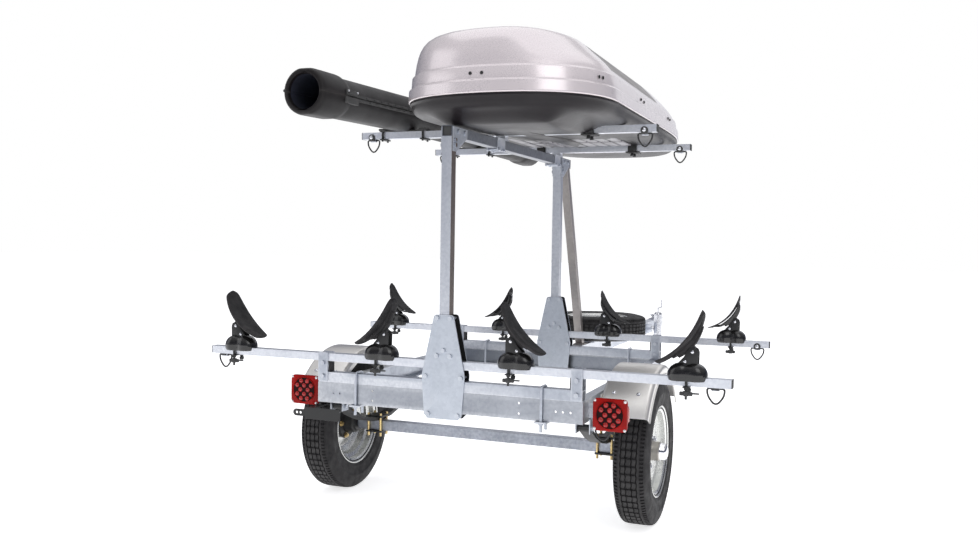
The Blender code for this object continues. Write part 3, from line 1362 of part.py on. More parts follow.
def closed_cup(rings, turn):
    """Skin the outer rings, then the inner ones, and close each top; ring turn starts the inside."""
    bm = bmesh.new()
    rows = [[bm.verts.new(point) for point in ring] for ring in rings]
    count = len(rings[0])
    for index in range(len(rows)):
        after = (index + 1) % len(rows)
        if index == turn - 1:
            bm.faces.new(rows[index])
            bm.faces.new(list(reversed(rows[after])))
            continue
        for point in range(count):
            ahead = (point + 1) % count
            bm.faces.new((rows[index][point], rows[index][ahead], rows[after][ahead], rows[after][point]))
    return finish_mesh(bm)


def tube_middle(y):
    """The height of the tube's middle; its ends droop where they overhang the bars."""
    rear, front = UPPER_REAR_FACE, UPPER_FRONT_FACE + UPPER_BAR_DEPTH
    if y < rear:
        return GEAR_Z - GEAR_REAR_DROOP * (rear - y) / (rear - GEAR_REAR_Y)
    if y > front:
        return GEAR_Z - GEAR_FRONT_DROOP * (y - front) / (GEAR_REAR_Y + GEAR_LENGTH - front)
    return GEAR_Z


def half_ring(outer, inner, foot, y, side):
    """Half of an annulus across the gear tube, above (1) or below (-1) its middle, with a flat foot."""
    turns = [math.pi * step / GEAR_STEPS for step in range(GEAR_STEPS + 1)]
    middle = tube_middle(y)

    def spot(radius, floor, turn):
        rise = side * (GAP / 2 + radius * math.sin(turn))
        return (GEAR_X + radius * math.cos(turn), y, middle + max(rise, -floor))

    over = [spot(outer, foot, turn) for turn in turns]
    under = [spot(inner, foot - GEAR_WALL, turn) for turn in reversed(turns)]
    return over + under


def gear_half(side):
    """One half of the tube, with a bell at each end."""
    bore = GEAR_RADIUS - GEAR_WALL
    rear, front = GEAR_REAR_Y, GEAR_REAR_Y + GEAR_LENGTH
    bell, body = GEAR_BELL_RADIUS, GEAR_RADIUS
    reach, taper, edge = GEAR_BELL_LENGTH, GEAR_BELL_TAPER, GEAR_BELL_ROUND
    half = [(0.0, bell - edge), (edge, bell), (reach - taper, bell), (reach, body)]
    stations = [(rear + place, outer) for place, outer in half]
    stations += [(UPPER_REAR_FACE, body), (UPPER_FRONT_FACE + UPPER_BAR_DEPTH, body)]
    stations += [(front - place, outer) for place, outer in reversed(half)]
    rings = []
    for y, outer in stations:
        foot = GEAR_FOOT + outer - body
        rings.append(half_ring(outer, bore, foot, y, side))
    return loft(rings)


def build_gear_tube():
    """The long tube for gear: a lower half clamped to the bars and a hinged upper half."""
    half = GEAR_CLAMP_HALF
    pieces = [gear_half(-1)]
    for face in (UPPER_REAR_FACE, UPPER_FRONT_FACE):
        low = UPPER_BAR_TOP + GAP
        pieces.append(box(
            (GEAR_X - half - GEAR_SEAT_MARGIN, GEAR_X + half + GEAR_SEAT_MARGIN),
            (face - GEAR_SEAT_MARGIN, face + UPPER_BAR_DEPTH + GEAR_SEAT_MARGIN), (low, low + GEAR_SEAT),
        ))
        for x in (GEAR_X - half, GEAR_X + half):
            pieces += bar_clamp(x, face, low + GEAR_SEAT + 0.004)
    solid("gear_tube_body", "black_plastic", pieces, smooth=True)
    hinge = (GEAR_X - GEAR_BELL_RADIUS - GEAR_HINGE_RADIUS, GEAR_REAR_Y + GEAR_LENGTH / 2, GEAR_Z)
    solid("gear_tube_lid", "black_plastic", [gear_half(1)], origin=hinge, smooth=True)


def main():
    """Build the whole trailer."""
    clear_scene()
    build_crossmember("rear", REAR_FACE, 1)
    build_crossmember("front", FRONT_FACE, -1)
    build_tongue()
    build_axle()
    for side in (-1, 1):
        build_side_rail(side)
        build_leaf_spring(side)
        build_wheel(side)
        build_fender(side)
        build_tail_light(side)
    build_plate_bracket()
    for end, face in (("rear", REAR_FACE), ("front", FRONT_FACE)):
        build_riser(end, face)
        build_load_bar(end, face)
        build_post_plates(end, face)
        build_post(end, face)
        for number, (x, side) in enumerate(zip(SADDLE_PLACES[end], SADDLE_KAYAK_SIDE), start=1):
            build_saddle(f"{end}_saddle_{number}", x, side, face)
    build_beam()
    build_brace()
    build_upper_bar("rear", UPPER_REAR_FACE)
    build_upper_bar("front", UPPER_FRONT_FACE)
    build_spare_wheel()
    build_coupler()
    build_coupler_latch()
    build_jack()
    build_box_base()
    build_box_lid()
    build_gear_tube()


if __name__ == "__main__":
    main()
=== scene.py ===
"""Looks of the kayak trailer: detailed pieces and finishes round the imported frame."""

import logging
import math
from collections.abc import Callable, Iterable, Sequence
from dataclasses import dataclass, replace
from enum import Enum

import bmesh
import bpy
from mathutils import Matrix, Vector


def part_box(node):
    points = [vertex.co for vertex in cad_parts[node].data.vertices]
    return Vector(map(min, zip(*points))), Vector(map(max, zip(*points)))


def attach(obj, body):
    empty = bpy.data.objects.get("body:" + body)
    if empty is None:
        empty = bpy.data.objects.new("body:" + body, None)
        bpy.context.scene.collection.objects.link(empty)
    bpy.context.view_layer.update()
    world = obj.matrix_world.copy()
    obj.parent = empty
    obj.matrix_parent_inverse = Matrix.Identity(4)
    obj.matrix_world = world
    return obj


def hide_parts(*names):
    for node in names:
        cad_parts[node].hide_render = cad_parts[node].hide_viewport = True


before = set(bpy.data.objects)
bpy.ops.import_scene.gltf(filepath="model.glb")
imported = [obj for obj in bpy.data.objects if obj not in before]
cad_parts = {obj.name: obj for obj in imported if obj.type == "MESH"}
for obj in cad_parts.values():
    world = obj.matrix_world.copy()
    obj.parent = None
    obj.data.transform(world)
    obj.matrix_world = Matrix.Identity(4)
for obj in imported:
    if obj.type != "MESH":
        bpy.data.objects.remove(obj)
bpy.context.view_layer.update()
LOG = logging.getLogger("trailer")

Point = tuple[float, float]
Triple = tuple[float, float, float]
Colour = Triple
Place = Callable[[float, float, float], Vector]
Node = bpy.types.Node
Socket = bpy.types.NodeSocket
Tree = bpy.types.NodeTree
Vert = bmesh.types.BMVert
TRAILER = "trailer"
MIX_UNDER, MIX_OVER, MIX_COLOUR = 6, 7, 2


class Axis(Enum):
    """The line that a turned or drilled piece follows."""

    X = "X"
    Y = "Y"
    Z = "Z"

    @property
    def line(self) -> Vector:
        """The unit vector along the axis."""
        return {"X": Vector((1, 0, 0)), "Y": Vector((0, 1, 0)), "Z": Vector((0, 0, 1))}[self.value]

    def lay(self, along: float, out: float) -> Vector:
        """A point at a distance along the axis and out from it."""
        if self is Axis.Z:
            return Vector((out, 0, along))
        return Vector((along, 0, out)) if self is Axis.X else Vector((0, along, out))

    @property
    def turn(self) -> Matrix:
        """The rotation that lays the Z axis along this one."""
        return Vector((0, 0, 1)).rotation_difference(self.line).to_matrix().to_4x4()


class Side(Enum):
    """A side of the trailer as seen from behind."""

    LEFT = -1
    RIGHT = 1

    @property
    def word(self) -> str:
        """The side's name."""
        return self.name.lower()


@dataclass(frozen=True)
class Span:
    """The box that a CAD node fills at rest."""

    low: Vector
    high: Vector

    @classmethod
    def of(cls, node: str) -> "Span":
        """Read the box of a CAD node."""
        return cls(*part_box(node))

    @property
    def middle(self) -> Vector:
        """The centre of the box."""
        return (self.low + self.high) / 2


class Web:
    """The shader nodes of one tree, added by kind and joined by socket."""

    def __init__(self, tree: Tree) -> None:
        """Start on a node tree."""
        self.tree = tree

    def add(self, kind: str, **values: float) -> Node:
        """Add a node and set its sockets; an underscore in a socket's name stands for a space."""
        node = self.tree.nodes.new(f"ShaderNode{kind}")
        for socket, value in values.items():
            node.inputs[socket.replace("_", " ")].default_value = value
        return node

    def math(self, operation: str) -> Node:
        """Add a sum or product of two numbers."""
        node = self.add("Math")
        node.operation = operation
        return node

    def join(self, source: Node, output: str, target: Node, socket: str | int) -> None:
        """Lead one node's output into another node's socket."""
        self.tree.links.new(source.outputs[output], target.inputs[socket])


class Effects:
    """Shader node groups that several finishes share, each built once."""

    made: dict[str, Tree] = {}

    @classmethod
    def group(cls, name: str, inputs: Sequence[str], output: str, fill: Callable[[Web, Node, Node], None]) -> Tree:
        """Return a node group, and build it the first time.

        Args:
            name: what the group is called.
            inputs: names of its number inputs.
            output: name of its one number output.
            fill: adds the nodes between the group's input and output.

        Returns:
            The node group.
        """
        if name not in cls.made:
            tree = bpy.data.node_groups.new(name, "ShaderNodeTree")
            for socket in inputs:
                tree.interface.new_socket(socket, in_out="INPUT", socket_type="NodeSocketFloat")
            tree.interface.new_socket(output, in_out="OUTPUT", socket_type="NodeSocketFloat")
            fill(Web(tree), tree.nodes.new("NodeGroupInput"), tree.nodes.new("NodeGroupOutput"))
            cls.made[name] = tree
        return cls.made[name]

    @classmethod
    def mottle(cls) -> Tree:
        """Soft patches of light and dark at a chosen scale."""
        def fill(web: Web, given: Node, put: Node) -> None:
            """Noise on object coordinates, spread to the full range."""
            noise = web.add("TexNoise", Detail=5.0, Roughness=0.6)
            spread = web.add("MapRange", From_Min=0.30, From_Max=0.70)
            web.join(web.add("TexCoord"), "Object", noise, "Vector")
            web.join(given, "Scale", noise, "Scale")
            web.join(noise, "Fac", spread, "Value")
            web.join(spread, "Result", put, "Value")
        return cls.group("soft_mottle", ["Scale"], "Value", fill)

    @classmethod
    def spangle(cls) -> Tree:
        """The crystals of hot-dip zinc: a random tone for each cell."""
        def fill(web: Web, given: Node, put: Node) -> None:
            """Voronoi cells on object coordinates."""
            cells, tone = web.add("TexVoronoi"), web.add("SeparateColor")
            web.join(web.add("TexCoord"), "Object", cells, "Vector")
            web.join(given, "Scale", cells, "Scale")
            web.join(cells, "Color", tone, "Color")
            web.join(tone, "Red", put, "Tone")
        return cls.group("zinc_spangle", ["Scale"], "Tone", fill)

    @classmethod
    def streaks(cls) -> Tree:
        """Fine lines drawn along one direction, as on rolled or brushed metal."""
        def fill(web: Web, given: Node, put: Node) -> None:
            """Noise on coordinates squeezed along each axis by the group's inputs."""
            squeeze, times = web.add("CombineXYZ"), web.add("VectorMath")
            times.operation = "MULTIPLY"
            noise = web.add("TexNoise", Scale=1.0, Detail=3.0)
            for axis in "XYZ":
                web.join(given, axis, squeeze, axis)
            web.join(web.add("TexCoord"), "Object", times, 0)
            web.join(squeeze, "Vector", times, 1)
            web.join(times, "Vector", noise, "Vector")
            web.join(noise, "Fac", put, "Value")
        return cls.group("drawn_streaks", ["X", "Y", "Z"], "Value", fill)

    @classmethod
    def worn_edges(cls) -> Tree:
        """A broken mask along outer edges, where handling rubs a finish bright."""
        def fill(web: Web, given: Node, put: Node) -> None:
            """Pointiness above a limit, broken up by noise."""
            edge = web.add("MapRange", From_Min=0.52, From_Max=0.60)
            noise = web.add("TexNoise", Scale=90.0)
            both, amount = web.math("MULTIPLY"), web.math("MULTIPLY")
            web.join(web.add("NewGeometry"), "Pointiness", edge, "Value")
            web.join(web.add("TexCoord"), "Object", noise, "Vector")
            web.join(edge, "Result", both, 0)
            web.join(noise, "Fac", both, 1)
            web.join(both, "Value", amount, 0)
            web.join(given, "Amount", amount, 1)
            web.join(amount, "Value", put, "Mask")
        return cls.group("worn_edges", ["Amount"], "Mask", fill)

    @classmethod
    def grain(cls) -> Tree:
        """Height of a fine moulded or cast skin."""
        def fill(web: Web, given: Node, put: Node) -> None:
            """Small cells and finer noise added together."""
            place, noise, cells = web.add("TexCoord"), web.add("TexNoise"), web.add("TexVoronoi")
            cells.feature = "SMOOTH_F1"
            finer, both = web.math("MULTIPLY"), web.math("ADD")
            finer.inputs[1].default_value = 2.3
            web.join(place, "Object", cells, "Vector")
            web.join(place, "Object", noise, "Vector")
            web.join(given, "Scale", cells, "Scale")
            web.join(given, "Scale", finer, 0)
            web.join(finer, "Value", noise, "Scale")
            web.join(cells, "Distance", both, 0)
            web.join(noise, "Fac", both, 1)
            web.join(both, "Value", put, "Height")
        return cls.group("fine_grain", ["Scale"], "Height", fill)


@dataclass(frozen=True)
class Finish:
    """How one kind of surface looks.

    Colours are linear. Patterns are counted per metre, and heights are in metres.
    """

    name: str
    colour: Colour
    shade: Colour
    metallic: float = 0.0
    rough: Point = (0.4, 0.6)
    mottle: float = 5.0
    spangle: float = 0.0
    spangle_share: float = 0.25
    streaks: Colour | None = None
    streak_share: float = 0.5
    grain: float = 700.0
    bump: float = 0.0
    worn: Colour | None = None
    worn_amount: float = 0.9
    coat: float = 0.0
    coat_rough: float = 0.08
    glow: float = 0.0
    specular: float = 0.5

    def material(self) -> bpy.types.Material:
        """Return the finish as a material, made the first time it is asked for."""
        return bpy.data.materials.get(self.name) or self.build()

    def build(self) -> bpy.types.Material:
        """Make the material with its patterns.

        Returns:
            The new material.
        """
        material = bpy.data.materials.new(self.name)
        material.use_nodes = True
        web = Web(material.node_tree)
        shader = web.tree.nodes["Principled BSDF"]
        shader.inputs["Metallic"].default_value = self.metallic
        shader.inputs["Coat Weight"].default_value = self.coat
        shader.inputs["Coat Roughness"].default_value = self.coat_rough
        shader.inputs["Specular IOR Level"].default_value = self.specular
        tone = self.place(web, Effects.mottle(), Scale=self.mottle).outputs["Value"]
        if self.spangle:
            cells = self.place(web, Effects.spangle(), Scale=self.spangle)
            tone = self.share(web, tone, cells.outputs["Tone"], self.spangle_share)
        if self.streaks:
            lines = self.place(web, Effects.streaks(), **dict(zip("XYZ", self.streaks)))
            tone = self.share(web, tone, lines.outputs["Value"], self.streak_share)
        colour = blend(web, tone, self.shade, self.colour)
        if self.worn:
            edges = self.place(web, Effects.worn_edges(), Amount=self.worn_amount)
            colour = blend(web, edges.outputs["Mask"], colour, self.worn)
        spread = web.add("MapRange", To_Min=self.rough[1], To_Max=self.rough[0])
        web.tree.links.new(colour, shader.inputs["Base Color"])
        web.tree.links.new(tone, spread.inputs["Value"])
        web.join(spread, "Result", shader, "Roughness")
        if self.bump:
            raised = web.add("Bump", Strength=1.0, Distance=self.bump)
            web.join(self.place(web, Effects.grain(), Scale=self.grain), "Height", raised, "Height")
            web.join(raised, "Normal", shader, "Normal")
        if self.glow:
            web.tree.links.new(colour, shader.inputs["Emission Color"])
            shader.inputs["Emission Strength"].default_value = self.glow
        return material

    @staticmethod
    def place(web: Web, group: Tree, **values: float) -> Node:
        """Put a shared effect into a material with its own values."""
        node = web.add("Group")
        node.node_tree = group
        for socket, value in values.items():
            node.inputs[socket].default_value = value
        return node

    @staticmethod
    def share(web: Web, first: Socket, second: Socket, part: float) -> Socket:
        """Mix two patterns by a fixed part of the second."""
        mix = web.add("Mix", Factor=part)
        web.tree.links.new(first, mix.inputs["A"])
        web.tree.links.new(second, mix.inputs["B"])
        return mix.outputs["Result"]


def blend(web: Web, mask: Socket, under: "Colour | Socket", over: Colour) -> Socket:
    """Mix two colours by a mask.

    Args:
        web: the nodes that it is added to.
        mask: where the second colour shows.
        under: the first colour, or a socket that gives it.
        over: the second colour.

    Returns:
        The socket with the mixed colour.
    """
    mix = web.add("Mix")
    mix.data_type = "RGBA"
    web.tree.links.new(mask, mix.inputs["Factor"])
    if isinstance(under, tuple):
        mix.inputs[MIX_UNDER].default_value = (*under, 1.0)
    else:
        web.tree.links.new(under, mix.inputs[MIX_UNDER])
    mix.inputs[MIX_OVER].default_value = (*over, 1.0)
    return mix.outputs[MIX_COLOUR]


GALVANISED = Finish("galvanised_steel", (0.66, 0.69, 0.75), (0.50, 0.53, 0.60), metallic=0.85,
                    rough=(0.28, 0.46), mottle=9.0, spangle=95.0, spangle_share=0.35, grain=420.0, bump=0.00004,
                    worn=(0.86, 0.87, 0.90))
PLATE = replace(GALVANISED, name="galvanised_plate", colour=(0.60, 0.64, 0.70), shade=(0.50, 0.54, 0.60),
                metallic=0.80, rough=(0.36, 0.52), mottle=14.0, spangle=110.0, spangle_share=0.40, grain=500.0)
RAIL_STEEL = replace(GALVANISED, name="galvanised_rail", colour=(0.55, 0.58, 0.63), shade=(0.41, 0.44, 0.50),
                     rough=(0.30, 0.48), mottle=8.0)
CHANNEL_STEEL = replace(GALVANISED, name="galvanised_channel", colour=(0.37, 0.39, 0.43),
                        shade=(0.27, 0.29, 0.33), rough=(0.28, 0.44), mottle=8.0, spangle_share=0.30,
                        worn=(0.90, 0.91, 0.93))
# The axle's darker copy of the galvanised finish is painted shade; its top face is painted lighter as painted
# light.
AXLE_PAINTED_SHADE = replace(GALVANISED, name="galvanised_axle", colour=(0.24, 0.26, 0.32), shade=(0.16, 0.18, 0.22),
                     metallic=0.80, rough=(0.30, 0.48), mottle=8.0, spangle_share=0.25, worn=(0.70, 0.72, 0.76))
BEAM_STEEL = replace(GALVANISED, name="galvanised_beam", colour=(0.175, 0.185, 0.215), shade=(0.12, 0.13, 0.155),
                     rough=(0.26, 0.44), mottle=7.0, spangle_share=0.30, worn=(0.42, 0.44, 0.48))
# Warm darker copy of the galvanised finish for the brace: painted shade.
BRACE_PAINTED_SHADE = replace(GALVANISED, name="brace_steel", colour=(0.40, 0.37, 0.355), shade=(0.29, 0.27, 0.26),
                      rough=(0.30, 0.46), mottle=8.0, spangle_share=0.30, worn=None)
# Dark brown copy of the galvanised finish for the rear post's right side: painted shade.
POST_PAINTED_SHADE = replace(GALVANISED, name="post_side", colour=(0.150, 0.120, 0.105), shade=(0.100, 0.082, 0.074),
                     metallic=0.6, rough=(0.34, 0.50), mottle=8.0, spangle_share=0.25, worn=None)
BRIGHT_ZINC = Finish("bright_zinc", (0.80, 0.81, 0.84), (0.62, 0.63, 0.67), metallic=1.0, rough=(0.16, 0.32),
                     mottle=60.0, grain=900.0, bump=0.00002)
YELLOW_ZINC = replace(BRIGHT_ZINC, name="yellow_zinc", colour=(0.78, 0.60, 0.26), shade=(0.55, 0.42, 0.24),
                      rough=(0.20, 0.38), mottle=45.0)
FENDER_METAL = Finish("fender_metal", (0.84, 0.82, 0.79), (0.72, 0.70, 0.67), metallic=0.75,
                      rough=(0.26, 0.40), mottle=6.0, spangle=140.0, spangle_share=0.18, grain=600.0,
                      bump=0.00003, worn=(0.88, 0.87, 0.85))
RIM_METAL = Finish("rim_metal", (0.88, 0.88, 0.86), (0.72, 0.73, 0.71), metallic=0.85, rough=(0.20, 0.34),
                   mottle=9.0, streaks=(8.0, 8.0, 160.0), grain=500.0, bump=0.00003)
HUB_METAL = Finish("hub_metal", (0.56, 0.53, 0.49), (0.42, 0.40, 0.37), metallic=0.9, rough=(0.28, 0.42),
                   mottle=30.0, streaks=(900.0, 60.0, 60.0))
CHROME = Finish("chrome", (0.90, 0.90, 0.91), (0.80, 0.80, 0.82), metallic=1.0, rough=(0.03, 0.08),
                mottle=20.0)
SCREW_WHITE = Finish("screw_white", (0.86, 0.85, 0.84), (0.66, 0.65, 0.65), metallic=0.6, rough=(0.18, 0.32),
                     mottle=80.0)
TYRE = Finish("tyre_rubber", (0.028, 0.026, 0.027), (0.015, 0.014, 0.015), rough=(0.55, 0.80), mottle=30.0,
              grain=1400.0, bump=0.00008, worn=(0.10, 0.098, 0.095), worn_amount=0.7, specular=0.35)
PAD_RUBBER = Finish("pad_rubber", (0.030, 0.028, 0.029), (0.012, 0.012, 0.013), rough=(0.60, 0.82),
                    mottle=22.0, grain=900.0, bump=0.00020, worn=(0.075, 0.07, 0.07), worn_amount=0.6,
                    specular=0.3)
BLACK_PLASTIC = Finish("black_plastic", (0.013, 0.012, 0.013), (0.006, 0.006, 0.007), rough=(0.24, 0.42),
                       mottle=18.0, grain=1500.0, bump=0.00004, worn=(0.07, 0.068, 0.066))
BLACK_STEEL = Finish("black_steel", (0.022, 0.022, 0.024), (0.010, 0.010, 0.011), metallic=0.2,
                     rough=(0.30, 0.50), mottle=25.0, grain=800.0, bump=0.00005, worn=(0.16, 0.16, 0.17))
TRAY_PLASTIC = Finish("tray_plastic", (0.016, 0.013, 0.015), (0.010, 0.008, 0.010), rough=(0.34, 0.46),
                      grain=650.0, bump=0.00009, specular=0.3)
TUBE_PLASTIC = Finish("tube_plastic", (0.0085, 0.0068, 0.0072), (0.0050, 0.0040, 0.0044), rough=(0.42, 0.56),
                      mottle=6.0, grain=520.0, bump=0.00012, worn=(0.09, 0.085, 0.08), worn_amount=0.5,
                      specular=0.25)
DEEP_BLACK = Finish("deep_black", (0.006, 0.006, 0.007), (0.003, 0.003, 0.004), rough=(0.55, 0.75),
                    mottle=15.0, grain=900.0, bump=0.00005)
SADDLE_GLOSS = Finish("saddle_gloss", (0.014, 0.013, 0.013), (0.007, 0.007, 0.007), rough=(0.16, 0.28),
                      mottle=16.0, bump=0.00005, coat=0.3, coat_rough=0.15)
BORE_DARK = Finish("bore_dark", (0.030, 0.034, 0.052), (0.016, 0.018, 0.028), rough=(0.45, 0.60), mottle=12.0,
                   grain=500.0, bump=0.00008)
LID_SILVER = Finish("lid_silver", (0.76, 0.695, 0.710), (0.71, 0.645, 0.660), metallic=0.35,
                    rough=(0.24, 0.32), mottle=3.0, spangle=900.0, spangle_share=0.35, coat=0.6,
                    coat_rough=0.12)
# Dark grey for the faces in the lid's recess: painted shade.
SCOOP_PAINTED_SHADE = Finish("scoop_grey", (0.17, 0.15, 0.145), (0.12, 0.105, 0.10), metallic=0.2, rough=(0.30, 0.44),
                    mottle=7.0, grain=650.0, bump=0.00006)
# Pale grey for the panels under the tray: painted light, standing for light thrown up from the floor.
UNDERSIDE_PAINTED_LIGHT = Finish("floor_panel", (0.26, 0.25, 0.27), (0.18, 0.17, 0.185), rough=(0.30, 0.42), mottle=9.0,
                     grain=650.0, bump=0.00008)
LAMP_RED = Finish("lamp_red", (0.34, 0.006, 0.004), (0.22, 0.004, 0.003), rough=(0.16, 0.28), mottle=30.0,
                  grain=400.0, bump=0.00006, specular=0.15, glow=0.12)
LAMP_DARK = Finish("lamp_dark", (0.020, 0.002, 0.002), (0.010, 0.001, 0.001), rough=(0.24, 0.42), mottle=60.0,
                   grain=300.0, bump=0.0003, specular=0.10)
LAMP_LED = Finish("lamp_led", (0.50, 0.010, 0.008), (0.16, 0.003, 0.003), rough=(0.06, 0.14), mottle=170.0,
                  bump=0.0001, coat=0.2, glow=0.16)
# Pale pink for the marker lens's face: a painted reflection of white surroundings on red plastic.
LENS_PAINTED_REFLECTION = Finish("lens_pale", (0.75, 0.42, 0.40), (0.62, 0.20, 0.18), rough=(0.12, 0.22), mottle=40.0,
                   coat=0.5)
FLOOR = Finish("studio_floor", (0.93, 0.93, 0.93), (0.90, 0.90, 0.90), rough=(0.75, 0.85), mottle=0.6,
               specular=0.1, glow=0.80)


def full_turn(steps: int, first: float = 0.0) -> list[float]:
    """Even angles round a circle, from a part of a step on."""
    return [2 * math.pi * (step + first) / steps for step in range(steps)]


def circle(radius: float, sides: int) -> list[Point]:
    """Points round a circle."""
    return [(radius * math.cos(turn), radius * math.sin(turn)) for turn in full_turn(sides)]


def superellipse(turn: float, power: float) -> Point:
    """A point of a rounded square at an angle; a power of 2 is a circle."""
    across, ahead = math.cos(turn), math.sin(turn)
    return (math.copysign(abs(across) ** (2 / power), across),
            math.copysign(abs(ahead) ** (2 / power), ahead))


def ramp(value: float, low: float, high: float) -> float:
    """How far a value is from low to high, eased at both ends, from 0 to 1."""
    share = min(1.0, max(0.0, (value - low) / (high - low)))
    return share * share * (3 - 2 * share)


def spot_key(point: Sequence[float]) -> tuple[float, ...]:
    """A point rounded to a hundredth of a millimetre, to find it again."""
    return tuple(round(value, 5) for value in point)


class Shape:
    """A mesh under the builder's hands, in metres in the trailer's own frame."""

    def __init__(self, finish: Finish, source: bpy.types.Mesh | None = None) -> None:
        """Start empty, or from a merged copy of a CAD node's mesh."""
        self.bm = bmesh.new()
        self.finishes = [finish]
        self.current = 0
        if source:
            self.bm.from_mesh(source)
            bmesh.ops.remove_doubles(self.bm, verts=self.bm.verts, dist=0.00001)
            bmesh.ops.dissolve_limit(self.bm, angle_limit=0.01, verts=self.bm.verts, edges=self.bm.edges)
        self.painted = self.bm.faces.layers.int.new("painted")
        self.mark()

    def paint(self, finish: Finish) -> "Shape":
        """Give what is made from now on another finish."""
        if finish not in self.finishes:
            self.finishes.append(finish)
        self.current = self.finishes.index(finish)
        return self

    def mark(self) -> None:
        """Give new faces the finish in use."""
        for face in self.bm.faces:
            if not face[self.painted]:
                face.material_index = self.current
                face[self.painted] = 1

    def repaint(self, finish: Finish, chosen: Callable[[Vector, Vector], bool]) -> None:
        """Give the faces whose middle and normal pass a test another finish."""
        kept = self.finishes[self.current]
        self.paint(finish)
        for face in self.bm.faces:
            if chosen(face.calc_center_median(), face.normal):
                face.material_index = self.current
        self.paint(kept)

    def soften(self, verts: Iterable[Vert], width: float, segments: int = 2, sharper: float = 25.0) -> None:
        """Round the sharp edges between these vertices."""
        if width <= 0:
            return
        chosen = set(verts)
        edges = {edge for vert in chosen for edge in vert.link_edges
                 if edge.other_vert(vert) in chosen and edge.is_manifold
                 and edge.calc_face_angle(0.0) > math.radians(sharper)}
        bmesh.ops.bevel(self.bm, geom=list(edges), offset=width, offset_type="OFFSET", segments=segments,
                        profile=0.5, affect="EDGES", clamp_overlap=True, material=-1)

    def block(self, low: Sequence[float], high: Sequence[float], width: float = 0.0,
              segments: int = 2) -> "Shape":
        """Add a block between two corners, with rounded edges.

        Args:
            low: one corner.
            high: the opposite corner.
            width: how far each edge is rounded.
            segments: faces across a rounded edge.

        Returns:
            The same shape.
        """
        first, second = Vector(low), Vector(high)
        size = Vector(abs(value) for value in second - first)
        matrix = Matrix.Translation((first + second) / 2) @ Matrix.Diagonal((*size, 1))
        made = bmesh.ops.create_cube(self.bm, size=1.0, matrix=matrix)["verts"]
        self.soften(made, width, segments)
        self.mark()
        return self

    def drum(self, axis: Axis, middle: Sequence[float], radius: float, length: float, sides: int = 20,
             far_radius: float | None = None, width: float = 0.0, spin: float = 0.0) -> "Shape":
        """Add a round or many-sided bar, tapered when the far radius differs.

        Args:
            axis: the line it follows.
            middle: its centre.
            radius: at its near end.
            length: from end to end.
            sides: how many faces go round.
            far_radius: at its far end.
            width: how far the end edges are rounded.
            spin: a turn about its own line.

        Returns:
            The same shape.
        """
        matrix = Matrix.Translation(middle) @ axis.turn @ Matrix.Rotation(spin, 4, "Z")
        far = radius if far_radius is None else far_radius
        made = bmesh.ops.create_cone(self.bm, cap_ends=True, cap_tris=False, segments=sides, radius1=radius,
                                     radius2=far, depth=length, matrix=matrix)["verts"]
        self.soften(made, width, 2, 50.0)
        self.mark()
        return self

    def revolve(self, profile: Sequence[Point], middle: Sequence[float], axis: Axis, steps: int = 64,
                closed: bool = True, out: int = 1) -> list[Vert]:
        """Turn a profile of (along, radius) about an axis.

        Args:
            profile: its points, in order.
            middle: the point on the axis that along is measured from.
            axis: the line it turns about.
            steps: how many faces go round.
            closed: whether the last point joins the first.
            out: which way along the axis the profile is measured, 1 or -1.

        Returns:
            The new vertices.
        """
        start = set(self.bm.verts)
        centre = Vector(middle)
        row = [self.bm.verts.new(centre + axis.lay(out * along, radius)) for along, radius in profile]
        pairs = list(zip(row, row[1:] + row[:1])) if closed else list(zip(row, row[1:]))
        edges = [self.bm.edges.new(pair) for pair in pairs]
        bmesh.ops.spin(self.bm, geom=row + edges, cent=centre, axis=axis.line, dvec=(0, 0, 0),
                       angle=2 * math.pi, steps=steps, use_merge=True)
        made = [vert for vert in self.bm.verts if vert not in start]
        bmesh.ops.remove_doubles(self.bm, verts=made, dist=0.000002)
        made = [vert for vert in self.bm.verts if vert.is_valid and vert not in start]
        self.face_out(made)
        self.mark()
        return made

    def face_out(self, verts: Iterable[Vert]) -> None:
        """Turn the faces of a closed shell outwards."""
        faces = list({face for vert in verts for face in vert.link_faces})
        bmesh.ops.recalc_face_normals(self.bm, faces=faces)

    def next_row(self, row: list[Vert]) -> list[Vert]:
        """Extrude a closed row of vertices once and return the new row in the same order."""
        count = len(row)
        edges = [self.bm.edges.get((row[index], row[(index + 1) % count])) for index in range(count)]
        made = bmesh.ops.extrude_edge_only(self.bm, edges=edges)["geom"]
        new = {item for item in made if isinstance(item, Vert)}
        return [next(edge.other_vert(vert) for edge in vert.link_edges if edge.other_vert(vert) in new)
                for vert in row]

    def skin(self, rings: Sequence[Sequence[Sequence[float]]], looped: bool = False,
             caps: tuple[bool, bool] = (True, True)) -> list[Vert]:
        """Draw a closed outline out through a row of rings with as many points each.

        Args:
            rings: the outlines, in order.
            looped: whether the last ring joins the first, as round a frame.
            caps: whether the first and the last ring are closed by a face.

        Returns:
            The new vertices.
        """
        row = [self.bm.verts.new(point) for point in rings[0]]
        for index, vert in enumerate(row):
            self.bm.edges.new((vert, row[(index + 1) % len(row)]))
        made = list(row)
        first = row
        for ring in [*rings[1:], rings[0]] if looped else rings[1:]:
            row = self.next_row(row)
            for vert, point in zip(row, ring):
                vert.co = point
            made += row
        if looped:
            bmesh.ops.remove_doubles(self.bm, verts=first + row, dist=0.0000001)
            made = [vert for vert in made if vert.is_valid]
        elif caps[0]:
            self.bm.faces.new(first)
        if not looped and caps[1]:
            self.bm.faces.new(list(reversed(row)))
        self.face_out(made)
        self.mark()
        return made

